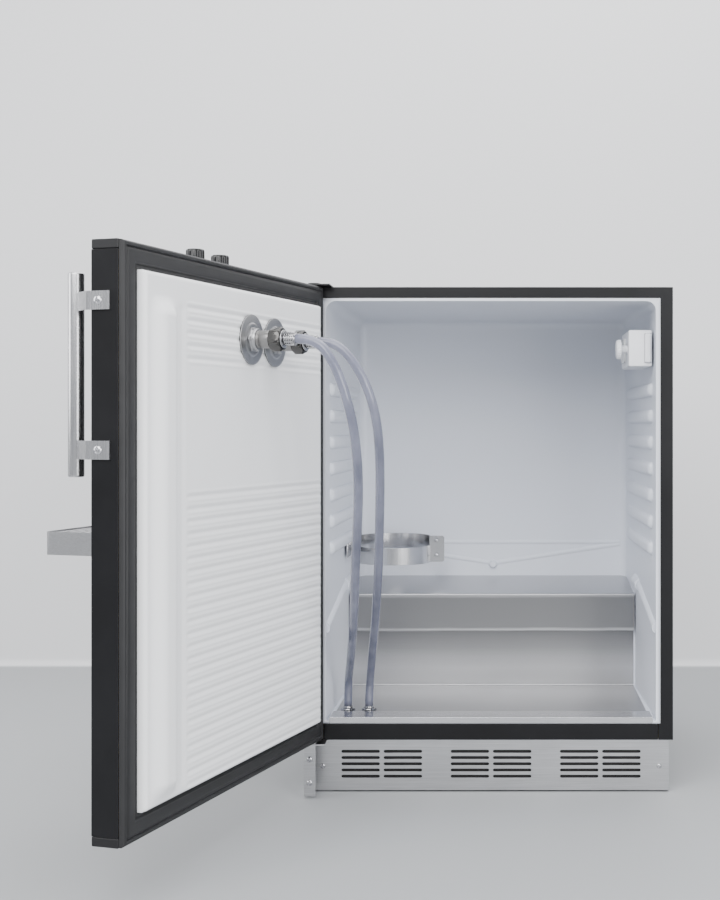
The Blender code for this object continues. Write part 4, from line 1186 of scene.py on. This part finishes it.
class COOLER_OT_gasket(bpy.types.Operator):
    """Sweep the magnetic gasket's section round the door with mitred corners"""
    bl_idname = "cooler.gasket"
    bl_label = "Door gasket"

    def execute(self, context):
        low, high = local_box("door_gasket", DOOR)
        inner_low, inner_high = (DOOR_LINER_LOW.x - 0.0003, DOOR_LINER_LOW.z - 0.0003), (
            DOOR_LINER_HIGH.x + 0.0003, DOOR_LINER_HIGH.z + 0.0003)
        face, base = high.y, low.y
        section = [(0.0, base), (0.0, base + 0.0030), (0.015, base + 0.0046), (0.04, face - 0.0022),
                   (0.09, face - 0.0008),
                   (0.14, face - 0.0006), (0.18, face - 0.0012), (0.205, face - 0.0030),
                   (0.225, face - 0.0034),
                   (0.245, face - 0.0028), (0.28, face - 0.0010), (0.34, face - 0.0002), (0.45, face),
                   (0.60, face),
                   (0.70, face - 0.0002), (0.76, face - 0.0010), (0.80, face - 0.0026),
                   (0.825, face - 0.0038),
                   (0.85, face - 0.0036), (0.88, face - 0.0022), (0.93, face - 0.0020),
                   (0.975, face - 0.0030), (1.0, face - 0.0048), (1.0, base)]
        bm = bmesh.new()
        loops = []
        for share, height in section:
            x_low, x_high = low.x + (inner_low[0] - low.x) * share, high.x + (inner_high[0] - high.x) * share
            z_low, z_high = low.z + (inner_low[1] - low.z) * share, high.z + (inner_high[1] - high.z) * share
            corners = [(x_low, z_low), (x_high, z_low), (x_high, z_high), (x_low, z_high)]
            loops.append([bm.verts.new((x, height, z)) for x, z in corners])
        skin(bm, [*loops, loops[0]])
        mesh = to_mesh(bm, "gasket_swept")
        add_piece("gasket_swept", mesh, "gasket", "door", ["door_gasket"], DOOR, 50.0)
        return {"FINISHED"}


class COOLER_OT_handle(bpy.types.Operator):
    """Make the bar handle, its two bent brackets and their screws"""
    bl_idname = "cooler.handle"
    bl_label = "Handle"

    def execute(self, context):
        low, high = local_box("handle_bar", DOOR)
        centre = middle(low, high, "XY")
        radius = (high.x - low.x) / 2
        outline = rounded([(0, low.z), (radius, low.z), (radius, high.z), (0, high.z)], 0.0022, 5)
        add_piece("handle_bar_turned", to_mesh(turned(outline, "Z", centre, 64), "bar"), "steel_z", "door",
                  ["handle_bar"], DOOR)
        places = []
        for name in ("upper", "lower"):
            edged(f"handle_bracket_{name}", "steel_z", 0.0007, 3)
            screw_low, screw_high = local_box(f"handle_screw_{name}", DOOR)
            places.append((screw_high.x - 0.0018, (screw_low.y + screw_high.y) / 2,
                           (screw_low.z + screw_high.z) / 2))
        screws("handle_screws", places, 0.0055, 0.0019, "door",
               ["handle_screw_upper", "handle_screw_lower"], DOOR, (0, 0, math.pi / 2))
        return {"FINISHED"}


# ---- Taps ---------------------------------------------------------------------------------
class COOLER_OT_taps(bpy.types.Operator):
    """Make both taps: flange, washer, shank, nuts, faucet and fluted lever"""
    bl_idname = "cooler.taps"
    bl_label = "Taps"

    def execute(self, context):
        for number in (1, 2):
            low, high = local_box(f"shank_flange_{number}", DOOR)
            centre = middle(low, high, "XZ")
            self.add_flange(number, centre, low, high)
            self.add_shank(number, centre)
            self.add_nut(number, centre)
            self.add_faucet(number, centre)
            self.add_lever(number, centre)
        return {"FINISHED"}

    @staticmethod
    def add_flange(number, centre, low, high):
        radius = (high.x - low.x) / 2
        start = low.y
        washer = turned(rounded([(0.014, start), (radius - 0.0004, start), (radius - 0.0004, start + 0.0012),
                                 (0.014, start + 0.0012)], 0.0003), "Y", centre, 72)
        add_piece(f"tap_washer_{number}", to_mesh(washer, "washer"), "washer", "door", (), DOOR)
        plate = turned(rounded([(0.0134, start + 0.0012), (radius, start + 0.0012), (radius, start + 0.0024),
                                (0.0245, start + 0.0030), (0.0225, start + 0.0042),
                                (0.0134, start + 0.0042)], 0.0008, 4),
                       "Y", centre, 96)
        cone = hexagon_bar("Y", centre, 0.034, start + 0.0035, start + 0.0085, 0.0015)
        collar = turned(rounded([(0.0134, start + 0.007), (0.0165, start + 0.007), (0.0155, high.y),
                                 (0.0134, high.y)],
                                0.0006), "Y", centre, 64)
        add_piece(f"tap_flange_{number}", joined([plate, cone, collar], "flange"), "steel_y", "door",
                  [f"shank_flange_{number}"], DOOR)

    @staticmethod
    def add_shank(number, centre):
        low, high = local_box(f"tap_shank_{number}", DOOR)
        radius = (high.x - low.x) / 2
        barrel = rounded([(0, low.y), (radius, low.y), (radius, 0.0400), (radius - 0.0008, 0.0404),
                          (radius - 0.0008, 0.0412),
                          (radius, 0.0416), (radius, high.y), (0, high.y)], 0.0003, 2)
        add_piece(f"tap_shank_{number}_turned", to_mesh(turned(barrel, "Y", centre, 72), "shank"),
                  "satin_chrome", "door", [f"tap_shank_{number}"], DOOR, 34.0)

    @staticmethod
    def add_nut(number, centre):
        low, _ = local_box(f"beer_nut_{number}", DOOR)
        flats, grip = 0.0320, low.y + 0.0172
        body = hexagon_bar("Y", centre, flats, low.y, grip, 0.0022, 0.35)
        add_piece(f"beer_nut_{number}_turned", to_mesh(body, "nut"), "dark_chrome", "door",
                  [f"beer_nut_{number}"], DOOR)
        ring = turned(rounded([(0, grip), (0.0132, grip), (0.0132, grip + 0.0024), (0.0100, grip + 0.0034),
                               (0, grip + 0.0034)], 0.0008, 4), "Y", centre, 64)
        start = grip + 0.0034
        barb = [(0, start)]
        for step in range(5):
            barb += [(0.0078, start + 0.0034 * step), (0.0090, start + 0.0034 * step + 0.0008),
                     (0.0090, start + 0.0034 * step + 0.0020), (0.0078, start + 0.0034 * step + 0.0028)]
        barb += [(0.0072, start + 0.0175), (0, start + 0.0175)]
        add_piece(f"beer_tail_{number}",
                  joined([ring, turned(rounded(barb, 0.0005, 2), "Y", centre, 64)], "tail"),
                  "chrome", "door", (), DOOR)
        lug = to_mesh(box((-0.0010, start + 0.0010, 0.0084), (0.0010, start + 0.0165, 0.0098), 0.0005, 2),
                      "lug")
        turns = [(0, math.radians(30 * index), 0) for index in range(12)]
        repeated(f"tail_splines_{number}", lug, [(centre[0], 0, centre[1])] * 12, "chrome", "door",
                 (), DOOR, turns)

    @staticmethod
    def add_faucet(number, centre):
        _, high = local_box(f"faucet_body_{number}", DOOR)
        near = high.y
        stem = near - 0.0305
        ring = rounded([(0, near), (0.0190, near), (0.0190, near - 0.004), (0.0165, near - 0.0055),
                        (0.0165, near - 0.018),
                        (0.0125, near - 0.020), (0.0112, near - 0.030), (0.0125, near - 0.044),
                        (0.0105, near - 0.050), (0, near - 0.051)], 0.0016, 4)
        throat = rounded([(0, centre[1]), (0.0118, centre[1] - 0.002), (0.0118, centre[1] + 0.013),
                          (0.0085, high.z), (0, high.z)], 0.0014, 4)
        spout = turned(rounded([(0.0070, -0.080), (0.0088, -0.080), (0.0088, -0.050), (0.0105, -0.015),
                                (0.0112, 0.0), (0.006, 0.004), (0, 0.004)], 0.0030, 5), "Z", (0, 0), 48)
        place = Matrix.Translation((centre[0], near - 0.040, centre[1] - 0.002)) @ Matrix.Rotation(
            math.radians(-14), 4, "X")
        bmesh.ops.transform(spout, matrix=place, verts=spout.verts)
        parts = [turned(ring, "Y", centre, 72), turned(throat, "Z", (centre[0], stem), 64), spout]
        add_piece(f"faucet_{number}_cast", joined(parts, "faucet"), "chrome", "door",
                  [f"faucet_body_{number}"], DOOR)
        tooth = to_mesh(box((-0.0007, near - 0.0165, 0.0158), (0.0007, near - 0.0065, 0.0171), 0.0003, 1),
                        "tooth")
        turns = [(0, math.radians(10 * index), 0) for index in range(36)]
        repeated(f"faucet_knurl_{number}", tooth, [(centre[0], 0, centre[1])] * 36, "chrome", "door",
                 (), DOOR, turns)

    @staticmethod
    def add_lever(number, centre):
        low, high = local_box(f"tap_lever_{number}", DOOR)
        stem_y = (low.y + high.y) / 2
        ball = rounded([(0, low.z), (0.0040, low.z + 0.0008), (0.0070, low.z + 0.0040),
                        (0.0074, low.z + 0.0080),
                        (0.0060, low.z + 0.0120), (0.0045, low.z + 0.0145), (0.0045, low.z + 0.0225),
                        (0.0080, low.z + 0.0235), (0.0085, low.z + 0.0270), (0, low.z + 0.0275)], 0.0012, 4)
        add_piece(f"tap_lever_{number}_stem", to_mesh(turned(ball, "Z", (centre[0], stem_y), 48), "stem"),
                  "chrome", f"tap_lever_{number}", [f"tap_lever_{number}"], DOOR)
        grip = [(0.0082, 0.0268), (0.0088, 0.0330), (0.0100, 0.0450), (0.0116, 0.0580), (0.0127, 0.0740),
                (0.0133, 0.0880), (0.0135, 0.1000), (0.0135, 0.1130), (0.0131, 0.1152), (0.0118, 0.1165)]
        sides, bm = 96, bmesh.new()
        rings = []
        for reach, height in grip:
            ring = []
            for angle in circle(sides):
                depth = 0.13 * hump(height, 0.030, 0.120, 0.008)
                flute = 1 - depth * (0.5 + 0.5 * math.cos(8 * angle)) ** 1.5
                ring.append(bm.verts.new((centre[0] + reach * flute * math.cos(angle),
                                          stem_y + reach * flute * math.sin(angle), low.z + height)))
            rings.append(ring)
        skin(bm, rings)
        bm.faces.new(rings[0])
        skin(bm, [rings[-1], [bm.verts.new((centre[0], stem_y, high.z))]])
        add_piece(f"tap_lever_{number}_grip", to_mesh(bm, "grip"), "gloss_black", f"tap_lever_{number}",
                  (), DOOR)


class COOLER_OT_drip_tray(bpy.types.Operator):
    """Press the drip tray, its bracket and its slotted grid"""
    bl_idname = "cooler.drip_tray"
    bl_label = "Drip tray"

    def execute(self, context):
        edged("tray_bracket", "steel_x", 0.0005)
        edged("drip_tray", "steel_x", 0.0005)
        edged("drip_grid", "steel_bright", 0.0003)
        return {"FINISHED"}


# ---- Stage --------------------------------------------------------------------------------
CAMERA_PLACE = (0.020, -2.22, 0.606)
WALL_DEPTH = 1.18
LENS, SENSOR = 53.9, 36.0
SIDE_SHIFT, UP_SHIFT = -0.159, -0.0267
LIGHTS = (                            # name, place, aimed at, width, height, watts
    ("front_key", (-0.9, -2.6, 2.3), (-0.1, 0.1, 0.45), 2.6, 2.0, 110.0),
    ("front_fill", (1.7, -2.4, 1.1), (0.0, 0.2, 0.5), 1.8, 1.8, 60.0),
    ("top_soft", (0.1, -0.2, 2.9), (0.0, 0.1, 0.4), 2.4, 2.4, 62.0),
    ("left_edge", (-2.6, -0.6, 1.4), (-0.4, -0.3, 0.5), 1.2, 1.8, 34.0),
    ("back_wash", (0.6, 0.75, 2.6), (0.9, WALL_DEPTH, 0.8), 2.0, 0.5, 12.0),
)
ROOM_COLOUR, ROOM_STRENGTH = (0.80, 0.82, 0.86), 0.80


class COOLER_OT_stage(bpy.types.Operator):
    """Lay the pale floor and backdrop, and set the camera and the soft lights"""
    bl_idname = "cooler.stage"
    bl_label = "Stage"

    def execute(self, context):
        scene = context.scene
        camera_data = bpy.data.cameras.new("view")
        camera_data.lens = LENS
        camera_data.sensor_width = SENSOR
        camera_data.shift_x = SIDE_SHIFT
        camera_data.shift_y = UP_SHIFT
        camera = bpy.data.objects.new("view", camera_data)
        camera.location = CABINET @ Vector(CAMERA_PLACE)
        camera.rotation_euler = (math.radians(90), 0, 0)
        scene.collection.objects.link(camera)
        scene.camera = camera
        self.add_backdrop()
        for light in LIGHTS:
            self.add_light(*light)
        world = bpy.data.worlds.new("studio")
        scene.world = world
        world.use_nodes = True
        backdrop = world.node_tree.nodes["Background"]
        backdrop.inputs["Color"].default_value = (*ROOM_COLOUR, 1.0)
        backdrop.inputs["Strength"].default_value = ROOM_STRENGTH
        return {"FINISHED"}

    @staticmethod
    def add_light(name, place, target, width, height, watts):
        lamp = bpy.data.lights.new(name, "AREA")
        lamp.shape = "RECTANGLE"
        lamp.size, lamp.size_y = width, height
        lamp.energy = watts
        made = bpy.data.objects.new(name, lamp)
        made.location = CABINET @ Vector(place)
        aim = CABINET @ Vector(target) - made.location
        made.rotation_euler = aim.to_track_quat("-Z", "Y").to_euler()
        bpy.context.scene.collection.objects.link(made)

    @staticmethod
    def add_backdrop():
        reach, round_corner = 5.0, 0.02
        depth = WALL_DEPTH
        line = [(-4.0, 0.0), (depth - round_corner, 0.0)]
        line += [(depth - round_corner + round_corner * math.sin(math.radians(a)),
                  round_corner - round_corner * math.cos(math.radians(a))) for a in range(15, 91, 15)]
        line.append((depth, 4.0))
        bm = bmesh.new()
        left = [bm.verts.new(CABINET @ Vector((-reach, y, z))) for y, z in line]
        right = [bm.verts.new(CABINET @ Vector((reach, y, z))) for y, z in line]
        for index in range(len(line) - 1):
            bm.faces.new((left[index], right[index], right[index + 1], left[index + 1]))
        mesh = to_mesh(bm, "backdrop", weld=0, recalc=False)
        mesh.shade_smooth()
        pale = Finish("pale_floor", Roughness=0.55)
        height = pale.node("ShaderNodeSeparateXYZ", {}, {0: pale.node("ShaderNodeTexCoord", output=3)}, 2)
        pale.set("Base Color", pale.blotch(height, (0.36, 0.37, 0.38), (0.74, 0.74, 0.75), 0.001, 0.004))
        pale.set("Alpha", pale.node("ShaderNodeNewGeometry", output=6) * -1.0 + 1.0)
        mesh.materials.append(pale.material)
        floor = bpy.data.objects.new("backdrop", mesh)
        bpy.context.scene.collection.objects.link(floor)


class COOLER_PT_panel(bpy.types.Panel):
    """Lists the cooler's pieces, sizes and colours"""
    bl_idname = "COOLER_PT_panel"
    bl_label = "Draught cooler"
    bl_space_type = "VIEW_3D"
    bl_region_type = "UI"
    bl_category = "Cooler"

    def draw(self, context):
        column = self.layout.column()
        for group in (context.scene.cooler_sizes, context.scene.cooler_colours):
            for name in group.__annotations__:
                column.prop(group, name)
        for operator in OPERATORS:
            column.operator(operator.bl_idname)


OPERATORS = (
    COOLER_OT_stage, COOLER_OT_beer_lines, COOLER_OT_cabinet_shell, COOLER_OT_cabinet_liner,
    COOLER_OT_lamp_box,
    COOLER_OT_gas_strap, COOLER_OT_machinery, COOLER_OT_door_shell, COOLER_OT_door_liner, COOLER_OT_gasket,
    COOLER_OT_handle, COOLER_OT_taps, COOLER_OT_drip_tray,
)
CLASSES = (CoolerSizes, CoolerColours, *OPERATORS, COOLER_PT_panel)


def register():
    for item in CLASSES:
        bpy.utils.register_class(item)
    bpy.types.Scene.cooler_sizes = bpy.props.PointerProperty(type=CoolerSizes)
    bpy.types.Scene.cooler_colours = bpy.props.PointerProperty(type=CoolerColours)


def unregister():
    del bpy.types.Scene.cooler_colours
    del bpy.types.Scene.cooler_sizes
    for item in reversed(CLASSES):
        bpy.utils.unregister_class(item)


def main():
    register()
    for operator in OPERATORS:
        group, name = operator.bl_idname.split(".")
        getattr(getattr(bpy.ops, group), name)()
    bpy.context.view_layer.update()


if __name__ == "__main__":
    main()
